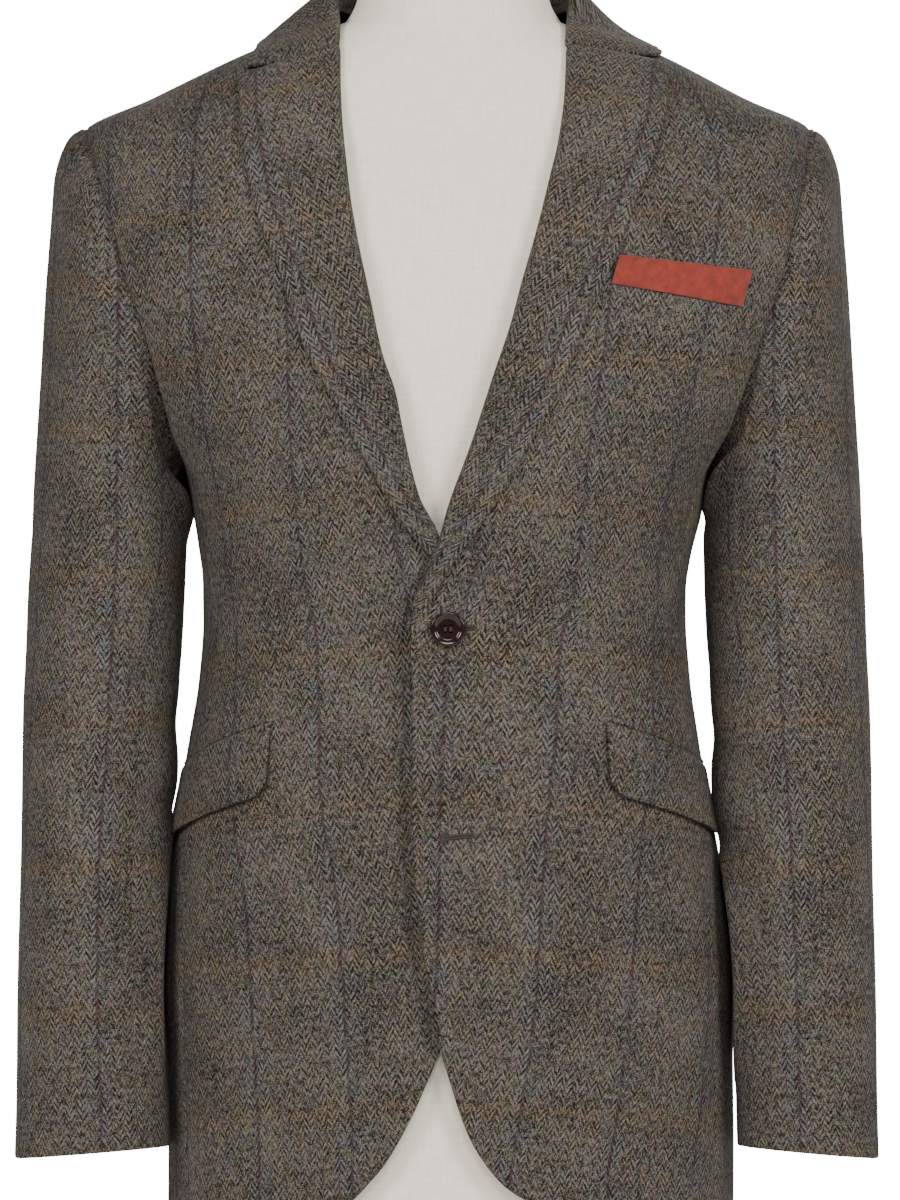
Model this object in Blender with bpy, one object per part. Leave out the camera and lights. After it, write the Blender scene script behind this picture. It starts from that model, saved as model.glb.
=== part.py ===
"""Tweed hacking jacket in its worn form, on a linen-covered dress form with a low round stand.

Metres, +Z up. The front faces -Y, the wearer's left is +X, and the origin is the middle of
the underside of the base. Sizes are named in millimetres and turned to metres when a mesh is
made. Heights in the garment's tables are above the hem, and the cloth hangs HEM_HEIGHT above
the floor.

Every cloth piece lies on one body surface, body_point(theta, height): theta is 0 at the
centre front, +90 degrees at the wearer's left side seam and 180 at the centre back. The
sleeves leave that surface at the armhole, and the collar leaves it at the neck.
"""

import math
from collections import namedtuple

import bmesh
import bpy
import numpy as np
from mathutils import Vector

MM = 0.001

# Driving sizes of the garment (size 40 regular) and its stand
HEM_HEIGHT = 150.0
CLOTH = 2.2
SEAM_GAP = 0.3
LAYER_GAP = 0.6
OVERLAP_SINK = CLOTH + 0.8

# Armhole: a loop round the side line, by its angle t (0 shoulder tip, 90 front, 180 underarm)
ARMHOLE_TOP = 696.0
ARMHOLE_BOTTOM = 472.0
ARMHOLE_SWING_FRONT = 30.0
ARMHOLE_SWING_BACK = 28.0
ARMHOLE_STEP = 18
SEAM_T = 144

# Underarm panel: angles of its two seams at the hem
FRONT_SEAM_THETA = 66.0
BACK_SEAM_THETA = 114.0
SEAM_TURN_HEIGHT = 383.0

SHOULDER_NECK_HEIGHT = 768.0
BACK_NECK_HEIGHT = 763.0
VENT_TOP = 240.0
VENT_UNDERLAP = 38.0

# Rolled edges of the lapels and the collar
ROLL_INNER = 3.2
ROLL_CENTRE_IN = 1.5
ROLL_CENTRE_DOWN = 1.1
ROLL_SPRING = 10.0
RIDGE_LIFT = 0.9
GORGE_ROLL_HEIGHT = 748.0
STAND_LEAN = 0.12
FALL_LIFT = 0.6
COLLAR_TURNS = (180, 135, 90, 50, 15)
FALL_SHARES = (0.2, 0.42, 0.64, 0.83, 1.0)

# Where one layer starts to pass under another, and where it is all the way under
FRONT_UNDER_START = -32.0
FRONT_UNDER_END = -5.0
VENT_UNDER_START = -34.0
VENT_UNDER_END = -3.0
VENT_CLOSE = (4.0, 44.0)

BUTTON_RADIUS = 11.25
BUTTON_HEIGHT = 377.0
BUTTON_X = 0.6
BUTTON_GAP = 0.9
BUTTON_RIM_HEIGHT = 3.5
BUTTON_DISH_HEIGHT = 2.0
HOLE_RADIUS = 1.0
HOLE_OFFSET = 2.5

BASE_RADIUS = 165.0
BASE_THICKNESS = 22.0
POLE_RADIUS = 16.0
FORM_BOTTOM = -22.0
FORM_EDGE_ROUND = 8.0
FORM_FOOT = 0.86

Section = namedtuple("Section", "height half_width front back round_front round_back centre")
BODY_SECTIONS = [
    Section(-30, 181.5, 132, 150, 2.3, 2.3, 2.5),
    Section(0, 181.5, 132, 150, 2.3, 2.3, 2.5),
    Section(139, 183, 130, 149, 2.3, 2.3, 1),
    Section(229, 176.5, 128, 143, 2.32, 2.3, -1.5),
    Section(277, 168.5, 127, 134, 2.35, 2.32, -2),
    Section(306, 163.5, 126, 128, 2.37, 2.33, -2),
    Section(345, 157.5, 125, 122, 2.4, 2.35, -2),
    Section(383, 155, 125, 120, 2.4, 2.35, -2),
    Section(421, 157.5, 129, 121, 2.42, 2.37, -1.5),
    Section(451, 163, 133, 125, 2.45, 2.4, 0),
    Section(472, 167, 135, 128, 2.5, 2.4, 0),
    Section(505, 190, 138, 132, 2.53, 2.45, 2),
    Section(555, 216, 138, 136, 2.6, 2.45, 4),
    Section(613, 235, 130, 136, 2.72, 2.4, 4.5),
    Section(663, 237, 112, 126, 2.9, 2.3, 3),
    Section(681, 235, 103, 119, 2.85, 2.25, 1.5),
    Section(696, 232.5, 95, 112, 2.7, 2.2, 0.4),
    Section(717, 190.5, 85, 101, 2.45, 2.12, 0.8),
    Section(746, 132.5, 73, 85, 2.2, 2.05, 3),
    Section(768, 79, 62, 70, 2.0, 2.0, 4),
    Section(780, 66, 56, 62, 2.0, 2.0, 4),
]

# Inner edge of each front, from the hem up past the top button to the neck: place across
# the body, positive to the wearer's left.
EdgePoint = namedtuple("EdgePoint", "height x")
LEFT_FRONT_EDGE = [
    EdgePoint(0, 82), EdgePoint(6, 66), EdgePoint(12.8, 53), EdgePoint(18, 43.5),
    EdgePoint(25.6, 34), EdgePoint(40, 22.4), EdgePoint(53, 14.7), EdgePoint(69, 8.3),
    EdgePoint(85, 3.2), EdgePoint(110, -4), EdgePoint(139.5, -7.5), EdgePoint(165, -14),
    EdgePoint(191, -17.3), EdgePoint(216, -19.8), EdgePoint(267, -21.8), EdgePoint(331, -21.8),
    EdgePoint(370, -23), EdgePoint(386, -21.8), EdgePoint(402, -15.5), EdgePoint(415, -10.5),
    EdgePoint(429, -3), EdgePoint(456, 5), EdgePoint(491, 18), EdgePoint(514, 25.6),
    EdgePoint(540, 34), EdgePoint(568, 43.5), EdgePoint(597, 51.2), EdgePoint(626, 59.5),
    EdgePoint(664, 69), EdgePoint(690, 75), EdgePoint(722, 79), EdgePoint(748, 80),
    EdgePoint(768, 80),
]
RIGHT_FRONT_EDGE = [
    EdgePoint(0, -85), EdgePoint(6, -74), EdgePoint(12.8, -62), EdgePoint(25.6, -49.3),
    EdgePoint(37, -39.7), EdgePoint(53, -30), EdgePoint(71, -20.5), EdgePoint(86, -14),
    EdgePoint(110, -4.5), EdgePoint(139, 3), EdgePoint(190, 12), EdgePoint(267, 18),
    EdgePoint(377, 20), EdgePoint(402, 16), EdgePoint(416, 7), EdgePoint(429, -4.5),
    EdgePoint(440, -9.6), EdgePoint(459, -20.5), EdgePoint(504, -32), EdgePoint(527, -36.5),
    EdgePoint(549, -44.2), EdgePoint(587, -52.5), EdgePoint(626, -60.8), EdgePoint(651, -65),
    EdgePoint(677, -68), EdgePoint(703, -70.5), EdgePoint(722, -71.5), EdgePoint(748, -72),
    EdgePoint(768, -72),
]

# Outer edge of each lapel, as it lies on the front
LEFT_LAPEL_EDGE = [
    EdgePoint(388, -16.5), EdgePoint(396, -10), EdgePoint(408, -3), EdgePoint(421, 5),
    EdgePoint(443, 21), EdgePoint(469, 37), EdgePoint(491, 50), EdgePoint(507, 59.5),
    EdgePoint(531, 72.3), EdgePoint(575, 88.3), EdgePoint(594, 98), EdgePoint(623, 110.7),
    EdgePoint(642, 117), EdgePoint(674, 130), EdgePoint(693, 136), EdgePoint(712, 140),
    EdgePoint(734, 140.5),
]
RIGHT_LAPEL_EDGE = [
    EdgePoint(427, -20), EdgePoint(447, -30), EdgePoint(475, -46), EdgePoint(498, -59),
    EdgePoint(517, -68.5), EdgePoint(539, -81), EdgePoint(559, -91), EdgePoint(587, -100.5),
    EdgePoint(607, -107), EdgePoint(626, -115), EdgePoint(645, -121.6), EdgePoint(664, -126),
    EdgePoint(683, -129), EdgePoint(703, -131.5), EdgePoint(731, -132),
]
LAPEL_TOP_HEIGHT = {1: 736.0, -1: 727.5}

# Collar leaf in front, as lines laid on the body from the fold to the outer edge
LeafLine = namedtuple("LeafLine", "station fold_x fold_height bend_x bend_height edge_x edge_height")
COLLAR_LEAF = {
    1: [
        LeafLine(1.00, 76, 749.2, 117, 742.2, 132, 742.2),
        LeafLine(0.93, 76, 757.0, 108, 750.0, 133, 744.5),
        LeafLine(0.87, 76.3, 763.5, 99, 756.0, 131, 746.8),
    ],
    -1: [
        LeafLine(1.00, 76, 748.6, 114, 736.4, 131, 733.8),
        LeafLine(0.93, 76, 756.4, 107, 746.5, 130, 739.0),
        LeafLine(0.87, 76.3, 763.5, 99, 754.6, 126, 745.4),
    ],
}
# Collar round the back of the neck: the fold's centre, the way out from the neck, the height
# of the stand below the fold, where the fall's edge lies on the body, and its belly outwards.
CollarRib = namedtuple(
    "CollarRib", "station x y height out_x out_y stand edge_theta edge_height belly"
)
COLLAR_BACK = CollarRib(0.00, 0, 71, 796, 0.0, 1.0, 30, 180, 750, 5.0)
COLLAR_RIBS = {
    1: [
        CollarRib(0.72, 79, 4, 784, 1.0, 0.05, 11, 94, 747.5, -7.0),
        CollarRib(0.60, 74, 24, 790, 0.93, 0.37, 18, 112, 751, -1.0),
        CollarRib(0.45, 61, 45, 793, 0.74, 0.67, 25, 133, 752, 4.0),
        CollarRib(0.22, 34, 64, 795, 0.36, 0.93, 29, 158, 751, 5.0),
    ],
    -1: [
        CollarRib(0.72, 79, 4, 784, 1.0, 0.05, 11, 94, 750.0, 2.0),
        CollarRib(0.60, 74, 24, 790, 0.93, 0.37, 18, 112, 752, 3.0),
        CollarRib(0.45, 61, 45, 793, 0.74, 0.67, 25, 133, 752, 4.0),
        CollarRib(0.22, 34, 64, 795, 0.36, 0.93, 29, 158, 751, 5.0),
    ],
}
COLLAR_STATIONS = 25

# Sleeve below the armhole: how far its inner and outer edge lie from the body's middle, its
# middle front to back, half its depth, and how much its outer side drops below the inner.
SleeveRow = namedtuple(
    "SleeveRow", "height inner_right outer_right inner_left outer_left middle half_depth tilt"
)
SLEEVE_ROWS = [
    SleeveRow(430, 167.0, 266.5, 164.5, 266.5, -2, 67, 0),
    SleeveRow(395, 168.5, 269.0, 165.5, 268.3, -3, 64, 0),
    SleeveRow(360, 170.0, 270.3, 167.0, 269.5, -6, 61, 0),
    SleeveRow(330, 171.5, 271.5, 168.5, 270.8, -9, 59, 0),
    SleeveRow(300, 174.0, 271.9, 170.5, 271.5, -13, 57, 0),
    SleeveRow(270, 178.0, 272.3, 174.5, 272.0, -19, 55, 0),
    SleeveRow(240, 180.5, 272.9, 178.0, 272.5, -27, 53, 0),
    SleeveRow(200, 182.0, 273.8, 180.0, 273.2, -35, 50, 1),
    SleeveRow(160, 182.3, 274.5, 182.0, 274.0, -38, 48, 2),
    SleeveRow(115, 180.5, 275.3, 183.8, 275.0, -40, 46, 3),
    SleeveRow(75, 177.5, 276.0, 184.5, 275.8, -42, 45, 4),
    SleeveRow(43, 176.0, 276.8, 185.0, 276.5, -44, 44, 4),
]
CAP_REACH = 32.0
CAP_REACH_LEAST = 6.0
CAP_LEAN = 0.3
CAP_UNDERARM_DROP = 0.35
HEAD_TRIM_SPREAD = 1.5
CAP_FALL = 0.55
# Outer edge of the sleeve head: place across at a height, from the arm up to the shoulder tip
HEAD_EDGE = [
    EdgePoint(430, 266.5), EdgePoint(466, 264.9), EdgePoint(523, 261.8), EdgePoint(587, 257.6),
    EdgePoint(632, 254.4), EdgePoint(651, 253.2), EdgePoint(664, 252.3), EdgePoint(673, 250.6),
    EdgePoint(683.5, 246.8), EdgePoint(691, 241.3), EdgePoint(696, 232.8),
]
ARM_RADIUS = 52.0
CAP_STATIONS = (0.0, 0.06, 0.14, 0.25, 0.40, 0.58, 0.78)
SLEEVE_SEAM_FRONT = 126
SLEEVE_SEAM_BACK = 252

# Soft creases of the sleeves: the angle round the arm and the height of the middle, how far
# each reaches round and up, how deep it is, and its rise for each degree round the arm.
Crease = namedtuple("Crease", "side angle height reach width depth rise")
SLEEVE_CREASES = [
    Crease(1, 130, 292, 62, 13, 3.2, 0.22),
    Crease(1, 150, 246, 50, 11, 2.6, -0.16),
    Crease(1, 64, 596, 34, 20, 2.2, 0.5),
    Crease(-1, 125, 306, 60, 14, 3.0, 0.20),
    Crease(-1, 148, 262, 55, 12, 2.8, -0.10),
    Crease(-1, 66, 578, 36, 21, 2.0, 0.4),
]

# Slanted pocket flaps: front and rear end, top line and depth
FLAP_FRONT_X = {1: 101.5, -1: -112.0}
FLAP_REAR_THETA = 83.0
FLAP_TOP_FRONT = {1: 318.0, -1: 317.5}
FLAP_TOP_REAR = {1: 289.0, -1: 288.0}
FLAP_DEPTH = 46.0
FLAP_CORNER = 0.12
FLAP_CORNER_TRIM = 9.0
FLAP_STAND = 1.2
FLAP_LEAN = 1.0
FLAP_SHARES = (0, 0.03, 0.09, 0.2, 0.35, 0.5, 0.65, 0.8, 0.91, 0.97, 1.0)
FLAP_DROPS = np.array([0.0, 0.25, 0.5, 0.75, 1.0])

# Breast-pocket welt: its corners across the body and up
WELT_TOP = ((109.5, 614.5), (194.0, 605.0))
WELT_BOTTOM = ((104.5, 596.5), (187.0, 582.5))
WELT_THICKNESS = 1.8

FormSection = namedtuple("FormSection", "height half_width front back")
FORM_NECK = [
    FormSection(766, 69, 60, 57),
    FormSection(776, 63, 60, 54),
    FormSection(790, 59.5, 61, 51),
    FormSection(812, 57.5, 60.5, 49),
    FormSection(842, 57, 61, 48),
    FormSection(850, 53, 57, 44),
]
NECK_CAP_RADIUS = 46.0
NECK_CAP_HEIGHT = 15.0


class Profile:
    """A smooth curve through a table of places and values, with no overshoot between them."""

    def __init__(self, places, values):
        self.x = np.asarray(places, float)
        self.y = np.asarray(values, float)
        step = np.diff(self.x)
        rise = np.diff(self.y) / step
        slope = np.zeros_like(self.y)
        slope[0], slope[-1] = rise[0], rise[-1]
        same_way = rise[1:] * rise[:-1] > 0
        before, after = rise[:-1][same_way], rise[1:][same_way]
        weight_a = (2 * step[1:] + step[:-1])[same_way]
        weight_b = (step[1:] + 2 * step[:-1])[same_way]
        inner = slope[1:-1]
        inner[same_way] = (weight_a + weight_b) / (weight_a / before + weight_b / after)
        self.slope = slope

    def __call__(self, place):
        place = np.clip(np.asarray(place, float), self.x[0], self.x[-1])
        i = np.clip(np.searchsorted(self.x, place) - 1, 0, len(self.x) - 2)
        span = self.x[i + 1] - self.x[i]
        u = (place - self.x[i]) / span
        return (
            self.y[i] * (1 + 2 * u) * (1 - u) ** 2
            + self.slope[i] * span * u * (1 - u) ** 2
            + self.y[i + 1] * u**2 * (3 - 2 * u)
            + self.slope[i + 1] * span * u**2 * (u - 1)
        )


def column(table, place, value):
    """The Profile of one named column of a table against another."""
    return Profile([getattr(row, place) for row in table], [getattr(row, value) for row in table])


def smooth_step(value, low, high):
    u = np.clip((np.asarray(value, float) - low) / (high - low), 0.0, 1.0)
    return u * u * (3 - 2 * u)


half_width_at = column(BODY_SECTIONS, "height", "half_width")
front_depth_at = column(BODY_SECTIONS, "height", "front")
back_depth_at = column(BODY_SECTIONS, "height", "back")
round_front_at = column(BODY_SECTIONS, "height", "round_front")
round_back_at = column(BODY_SECTIONS, "height", "round_back")
centre_at = column(BODY_SECTIONS, "height", "centre")
FRONT_EDGE = {
    1: column(LEFT_FRONT_EDGE, "height", "x"),
    -1: column(RIGHT_FRONT_EDGE, "height", "x"),
}
LAPEL_EDGE = {
    1: column(LEFT_LAPEL_EDGE, "height", "x"),
    -1: column(RIGHT_LAPEL_EDGE, "height", "x"),
}


def body_point(theta, height):
    """The point of the body surface at an angle in degrees and a height above the hem."""
    theta, height = np.broadcast_arrays(np.asarray(theta, float), np.asarray(height, float))
    sine, cosine = np.sin(np.radians(theta)), np.cos(np.radians(theta))
    power = 2 / np.where(cosine > 0, round_front_at(height), round_back_at(height))
    depth = np.where(cosine > 0, front_depth_at(height), back_depth_at(height))
    x = centre_at(height) + half_width_at(height) * np.sign(sine) * np.abs(sine) ** power
    y = -depth * np.sign(cosine) * np.abs(cosine) ** power
    return np.stack([x, y, height], axis=-1)


def unit(vectors):
    return vectors / np.linalg.norm(vectors, axis=-1, keepdims=True)


def body_normal(theta, height):
    around = body_point(np.asarray(theta) + 1.2, height) - body_point(np.asarray(theta) - 1.2, height)
    up = body_point(theta, np.asarray(height) + 0.8) - body_point(theta, np.asarray(height) - 0.8)
    return unit(np.cross(around, up))


def theta_at(x, height, back=False):
    """The angle of the surface point that lies x across the body, in front or at the back."""
    ratio = (np.asarray(x, float) - centre_at(height)) / half_width_at(height)
    roundness = round_back_at(height) if back else round_front_at(height)
    sine = np.sign(ratio) * np.minimum(np.abs(ratio), 1.0) ** (roundness / 2)
    angle = np.degrees(np.arcsin(sine))
    return 180 - angle if back else angle


def armhole(angle):
    """(theta, height) of the wearer's left armhole at its angle: 0 at the shoulder tip, 90 in
    front, 180 under the arm and 270 at the back."""
    turn = np.radians(np.asarray(angle, float))
    swing = np.where(np.sin(turn) > 0, ARMHOLE_SWING_FRONT, ARMHOLE_SWING_BACK)
    middle = (ARMHOLE_TOP + ARMHOLE_BOTTOM) / 2
    reach = (ARMHOLE_TOP - ARMHOLE_BOTTOM) / 2
    return 90 - swing * np.sin(turn), middle + reach * np.cos(turn)


def on_side(side, theta):
    """An angle given for the wearer's left, turned to the right side when side is -1."""
    return side * theta


# ---------------------------------------------------------------------------------------
# Meshes


def make_object(name, points, faces, material, smooth=True):
    mesh = bpy.data.meshes.new(name)
    lifted = np.asarray(points, float) + (0.0, 0.0, HEM_HEIGHT)
    mesh.from_pydata((lifted * MM).tolist(), [], faces)
    frame = bmesh.new()
    frame.from_mesh(mesh)
    if frame.calc_volume(signed=True) < 0:
        bmesh.ops.reverse_faces(frame, faces=frame.faces)
    frame.to_mesh(mesh)
    frame.free()
    obj = bpy.data.objects.new(name, mesh)
    bpy.context.scene.collection.objects.link(obj)
    mesh.materials.append(material)
    if smooth:
        mesh.shade_smooth()
        mesh.set_sharp_from_angle(angle=math.radians(40))
    return obj


def cloth_wall(name, outer, inner, material):
    """A closed wall between two grids of points, with an edge face along each border.

    Each cell is split along its shorter diagonal, the same way on both sides."""
    rows, cols = outer.shape[:2]
    points = np.concatenate([outer.reshape(-1, 3), inner.reshape(-1, 3)])
    inside = rows * cols

    def at(row, col, layer=0):
        return layer * inside + row * cols + col

    faces = []
    for r in range(rows - 1):
        for c in range(cols - 1):
            cell = (at(r, c), at(r, c + 1), at(r + 1, c + 1), at(r + 1, c))
            falling = np.linalg.norm(points[cell[2]] - points[cell[0]])
            rising = np.linalg.norm(points[cell[3]] - points[cell[1]])
            if rising < falling:
                cell = cell[1:] + cell[:1]
            for half in ((cell[0], cell[1], cell[2]), (cell[0], cell[2], cell[3])):
                faces.append(half)
                faces.append(tuple(corner + inside for corner in reversed(half)))
    border = [(0, c) for c in range(cols)]
    border += [(r, cols - 1) for r in range(1, rows)]
    border += [(rows - 1, c) for c in range(cols - 2, -1, -1)]
    border += [(r, 0) for r in range(rows - 2, 0, -1)]
    for (ra, ca), (rb, cb) in zip(border, border[1:] + border[:1]):
        faces.append((at(ra, ca), at(ra, ca, 1), at(rb, cb, 1), at(rb, cb)))
    return make_object(name, points, faces, material)


def closed_tube(name, rings, material):
    """A closed body through rings of points, each end a fan to its own middle."""
    count = len(rings[0])
    points = np.concatenate(list(rings) + [rings[0].mean(0)[None], rings[-1].mean(0)[None]])
    low_middle, high_middle = len(points) - 2, len(points) - 1
    last = (len(rings) - 1) * count
    faces = []
    for r in range(len(rings) - 1):
        for c in range(count):
            d = (c + 1) % count
            faces.append((r * count + c, r * count + d, (r + 1) * count + d, (r + 1) * count + c))
    for c in range(count):
        d = (c + 1) % count
        faces.append((d, c, low_middle))
        faces.append((last + c, last + d, high_middle))
    return make_object(name, points, faces, material)


def turned(name, outline, steps, material, origin=(0.0, 0.0, 0.0), shade_flat=False):
    """A closed turned body round Z from (radius, height) points, both ends on the axis."""
    rings, points = [], []
    for radius, height in outline:
        if radius == 0:
            rings.append([len(points)])
            points.append((0.0, 0.0, height))
            continue
        rings.append(list(range(len(points), len(points) + steps)))
        for k in range(steps):
            turn = 2 * math.pi * k / steps
            points.append((radius * math.cos(turn), radius * math.sin(turn), height))
    faces = []
    for low, high in zip(rings, rings[1:]):
        for k in range(steps):
            n = (k + 1) % steps
            if len(low) == 1:
                faces.append((low[0], high[n], high[k]))
            elif len(high) == 1:
                faces.append((low[k], low[n], high[0]))
            else:
                faces.append((low[k], low[n], high[n], high[k]))
    shifted = np.asarray(points) + np.asarray(origin)
    return make_object(name, shifted, faces, material, smooth=not shade_flat)


def new_material(name, colour, roughness, metallic=0.0):
    material = bpy.data.materials.new(name)
    material.use_nodes = True
    shader = material.node_tree.nodes["Principled BSDF"]
    shader.inputs["Base Color"].default_value = (*colour, 1.0)
    shader.inputs["Roughness"].default_value = roughness
    shader.inputs["Metallic"].default_value = metallic
    material.diffuse_color = (*colour, 1.0)
    return material


# ---------------------------------------------------------------------------------------
# Fronts, underarm panels and backs


def even_thetas(start, end, height, fractions, gap_start, gap_end):
    """Angles from start to end at one height, at fractions of the way along the surface."""
    dense = np.linspace(start, end, 90)
    path = body_point(dense, height)
    along = np.concatenate([[0], np.cumsum(np.linalg.norm(np.diff(path, axis=0), axis=1))])
    wanted = gap_start + np.asarray(fractions) * (along[-1] - gap_start - gap_end)
    return np.interp(wanted, along, dense)


def sunk(theta, height, depth):
    """Outer and inner points of the cloth, lowered by depth under an overlap."""
    points, normals = body_point(theta, height), body_normal(theta, height)
    outer = points - normals * np.asarray(depth)[..., None]
    return outer, outer - normals * CLOTH


def front_overlap_sink(side, x, height):
    """How far the wearer's right front lies under the left one."""
    if side > 0:
        return np.zeros_like(x)
    inside = x - FRONT_EDGE[1](height)
    return OVERLAP_SINK * smooth_step(inside, FRONT_UNDER_START, FRONT_UNDER_END)


def vent_sink(side, x, height):
    """How far the wearer's right back lies under the left one at the centre vent."""
    if side > 0:
        return np.zeros_like(x)
    near = smooth_step(x - centre_at(height), VENT_UNDER_START, VENT_UNDER_END)
    low, high = VENT_CLOSE
    return OVERLAP_SINK * near * (1 - smooth_step(height, VENT_TOP + low, VENT_TOP + high))


def side_seam(height, at_hem, at_armhole):
    """The angle of a seam of the underarm panel, which turns towards its place on the armhole."""
    top = armhole(SEAM_T)[1]
    return at_hem + (at_armhole - at_hem) * smooth_step(height, SEAM_TURN_HEIGHT - 120, top)


def armhole_rows(first, last):
    """(theta, height) for each step of the armhole from one angle to another."""
    step = ARMHOLE_STEP if last > first else -ARMHOLE_STEP
    return [armhole(t) for t in range(first, last + step, step)]


FRONT_HEIGHTS = (0, 5, 12, 22, 38, 58, 82, 110, 145, 180, 215, 250, 280, 308, 335, 360, 383,
                 402, 416, 430, 450, 472)
SHOULDER_HEIGHTS = (706, 716, 727, 738, 749, 758, 765)
PANEL_COLUMNS = (0, 0.15, 0.3, 0.45, 0.59, 0.72, 0.83, 0.92, 0.97, 1)


def front_panel(side, name, material):
    rows = []
    for height in FRONT_HEIGHTS:
        end = side_seam(height, FRONT_SEAM_THETA, float(armhole(SEAM_T)[0]))
        rows.append((height, end, SEAM_GAP / 2))
    for theta, height in armhole_rows(SEAM_T, ARMHOLE_STEP):
        rows.append((float(height), float(theta), SEAM_GAP / 2 if height < 500 else 0.0))
    rows += [(height, 90.0, SEAM_GAP / 2) for height in (ARMHOLE_TOP, *SHOULDER_HEIGHTS)]
    outer, inner = [], []
    for height, end, gap in rows:
        start = theta_at(FRONT_EDGE[side](height), height)
        theta = even_thetas(start, on_side(side, end), height, PANEL_COLUMNS, 0.0, gap)
        x = body_point(theta, height)[:, 0]
        out_row, in_row = sunk(theta, height, front_overlap_sink(side, x, height))
        outer.append(out_row)
        inner.append(in_row)
    return cloth_wall(name, np.array(outer), np.array(inner), material)


def side_panel(side, name, material):
    angles = list(range(SEAM_T, 360 - SEAM_T + 1, ARMHOLE_STEP))
    front_top, back_top = float(armhole(SEAM_T)[0]), float(armhole(360 - SEAM_T)[0])
    fractions = np.linspace(0, 1, 15)
    outer, inner = [], []
    for k, angle in enumerate(angles):
        top_theta, top_height = (float(v) for v in armhole(angle))
        share = k / (len(angles) - 1)
        height = top_height * fractions
        low = side_seam(height, FRONT_SEAM_THETA, front_top)
        high = side_seam(height, BACK_SEAM_THETA, back_top)
        across = low + (high - low) * share
        settle = smooth_step(height, SEAM_TURN_HEIGHT, top_height)
        theta = across + (top_theta - across) * settle
        nudge = np.degrees(SEAM_GAP / 2 / half_width_at(height))
        theta = theta + nudge * ((k == 0) * 1.0 - (k == len(angles) - 1) * 1.0)
        out_row, in_row = sunk(on_side(side, theta), height, np.zeros_like(height))
        outer.append(out_row)
        inner.append(in_row)
    return cloth_wall(name, np.array(outer), np.array(inner), material)


BACK_HEIGHTS = (0, 30, 65, 100, 140, 180, 228, 240, 262, 290, 325, 360, 395, 430, 472)


def back_neck_drop(theta):
    """How far the back's top edge lies below the shoulder's neck point."""
    return (SHOULDER_NECK_HEIGHT - BACK_NECK_HEIGHT) * smooth_step(theta, 90, 170)


def back_panel(side, name, material):
    rows = []
    for height in BACK_HEIGHTS:
        end = side_seam(height, BACK_SEAM_THETA, float(armhole(360 - SEAM_T)[0]))
        rows.append((height, end, SEAM_GAP / 2))
    for theta, height in armhole_rows(360 - SEAM_T, 360 - ARMHOLE_STEP):
        rows.append((float(height), float(theta), SEAM_GAP / 2 if height < 500 else 0.0))
    rows += [(height, 90.0, SEAM_GAP / 2) for height in (ARMHOLE_TOP, *SHOULDER_HEIGHTS)]
    outer, inner = [], []
    for height, end, gap in rows:
        middle = centre_at(height)
        if side < 0 and height < VENT_TOP:
            middle = middle + VENT_UNDERLAP
        start = theta_at(middle, height, back=True)
        if side < 0:
            start = start - 360 if start > 0 else start
        theta = even_thetas(
            start, on_side(side, end), height, PANEL_COLUMNS, SEAM_GAP / 2, gap
        )
        x = body_point(theta, height)[:, 0]
        share = smooth_step(height, ARMHOLE_TOP, SHOULDER_HEIGHTS[-1])
        level = height - share * back_neck_drop(np.abs(theta))
        out_row, in_row = sunk(theta, level, vent_sink(side, x, height))
        outer.append(out_row)
        inner.append(in_row)
    return cloth_wall(name, np.array(outer), np.array(inner), material)


# ---------------------------------------------------------------------------------------
# Lapels and collar

ROLL_ANGLES = (185, 160, 135, 112, 90)
FLAT_FRACTIONS = (0.05, 0.14, 0.28, 0.46, 0.66, 0.84, 1.0)


def rolled_row(side, line):
    """Outer and inner points across a turned-over edge: round the roll, then flat on the body.

    line holds the (x, height) places from the roll outwards, as many as the row has bends."""
    line = np.asarray(line, float)
    reach = np.concatenate([[0], np.cumsum(np.linalg.norm(np.diff(line, axis=0), axis=1))])

    def laid(distance):
        x = np.interp(distance, reach, line[:, 0])
        height = np.interp(distance, reach, line[:, 1])
        theta = theta_at(x, height)
        return body_point(theta, height), body_normal(theta, height)

    root, normal = laid(0.0)
    ahead = laid(min(4.0, reach[-1]))[0] - root
    across = unit(ahead - normal * np.dot(ahead, normal))
    centre = root + ROLL_CENTRE_IN * across - ROLL_CENTRE_DOWN * normal
    outer, inner = [], []
    for angle in ROLL_ANGLES:
        turn = math.radians(angle)
        way = math.cos(turn) * across + math.sin(turn) * normal
        inner.append(centre + ROLL_INNER * way)
        outer.append(centre + (ROLL_INNER + CLOTH) * way)
    top_gap = ROLL_INNER - ROLL_CENTRE_DOWN
    for share in FLAT_FRACTIONS:
        distance = ROLL_CENTRE_IN + share * (reach[-1] - ROLL_CENTRE_IN)
        point, up = laid(distance)
        spring = math.exp(-(((distance - ROLL_CENTRE_IN) / ROLL_SPRING) ** 2))
        rest = LAYER_GAP + RIDGE_LIFT * float(smooth_step(point[2], 680, 725))
        lift = rest + (top_gap - rest) * spring
        inner.append(point + lift * up)
        outer.append(point + (lift + CLOTH) * up)
    return np.array(outer), np.array(inner)


LAPEL_START = {1: (391.0, 389.0), -1: (442.0, 437.0)}
LAPEL_SHARES = (0, 0.05, 0.12, 0.2, 0.29, 0.38, 0.47, 0.56, 0.65, 0.74, 0.82, 0.89, 0.95, 1.0)


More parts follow.
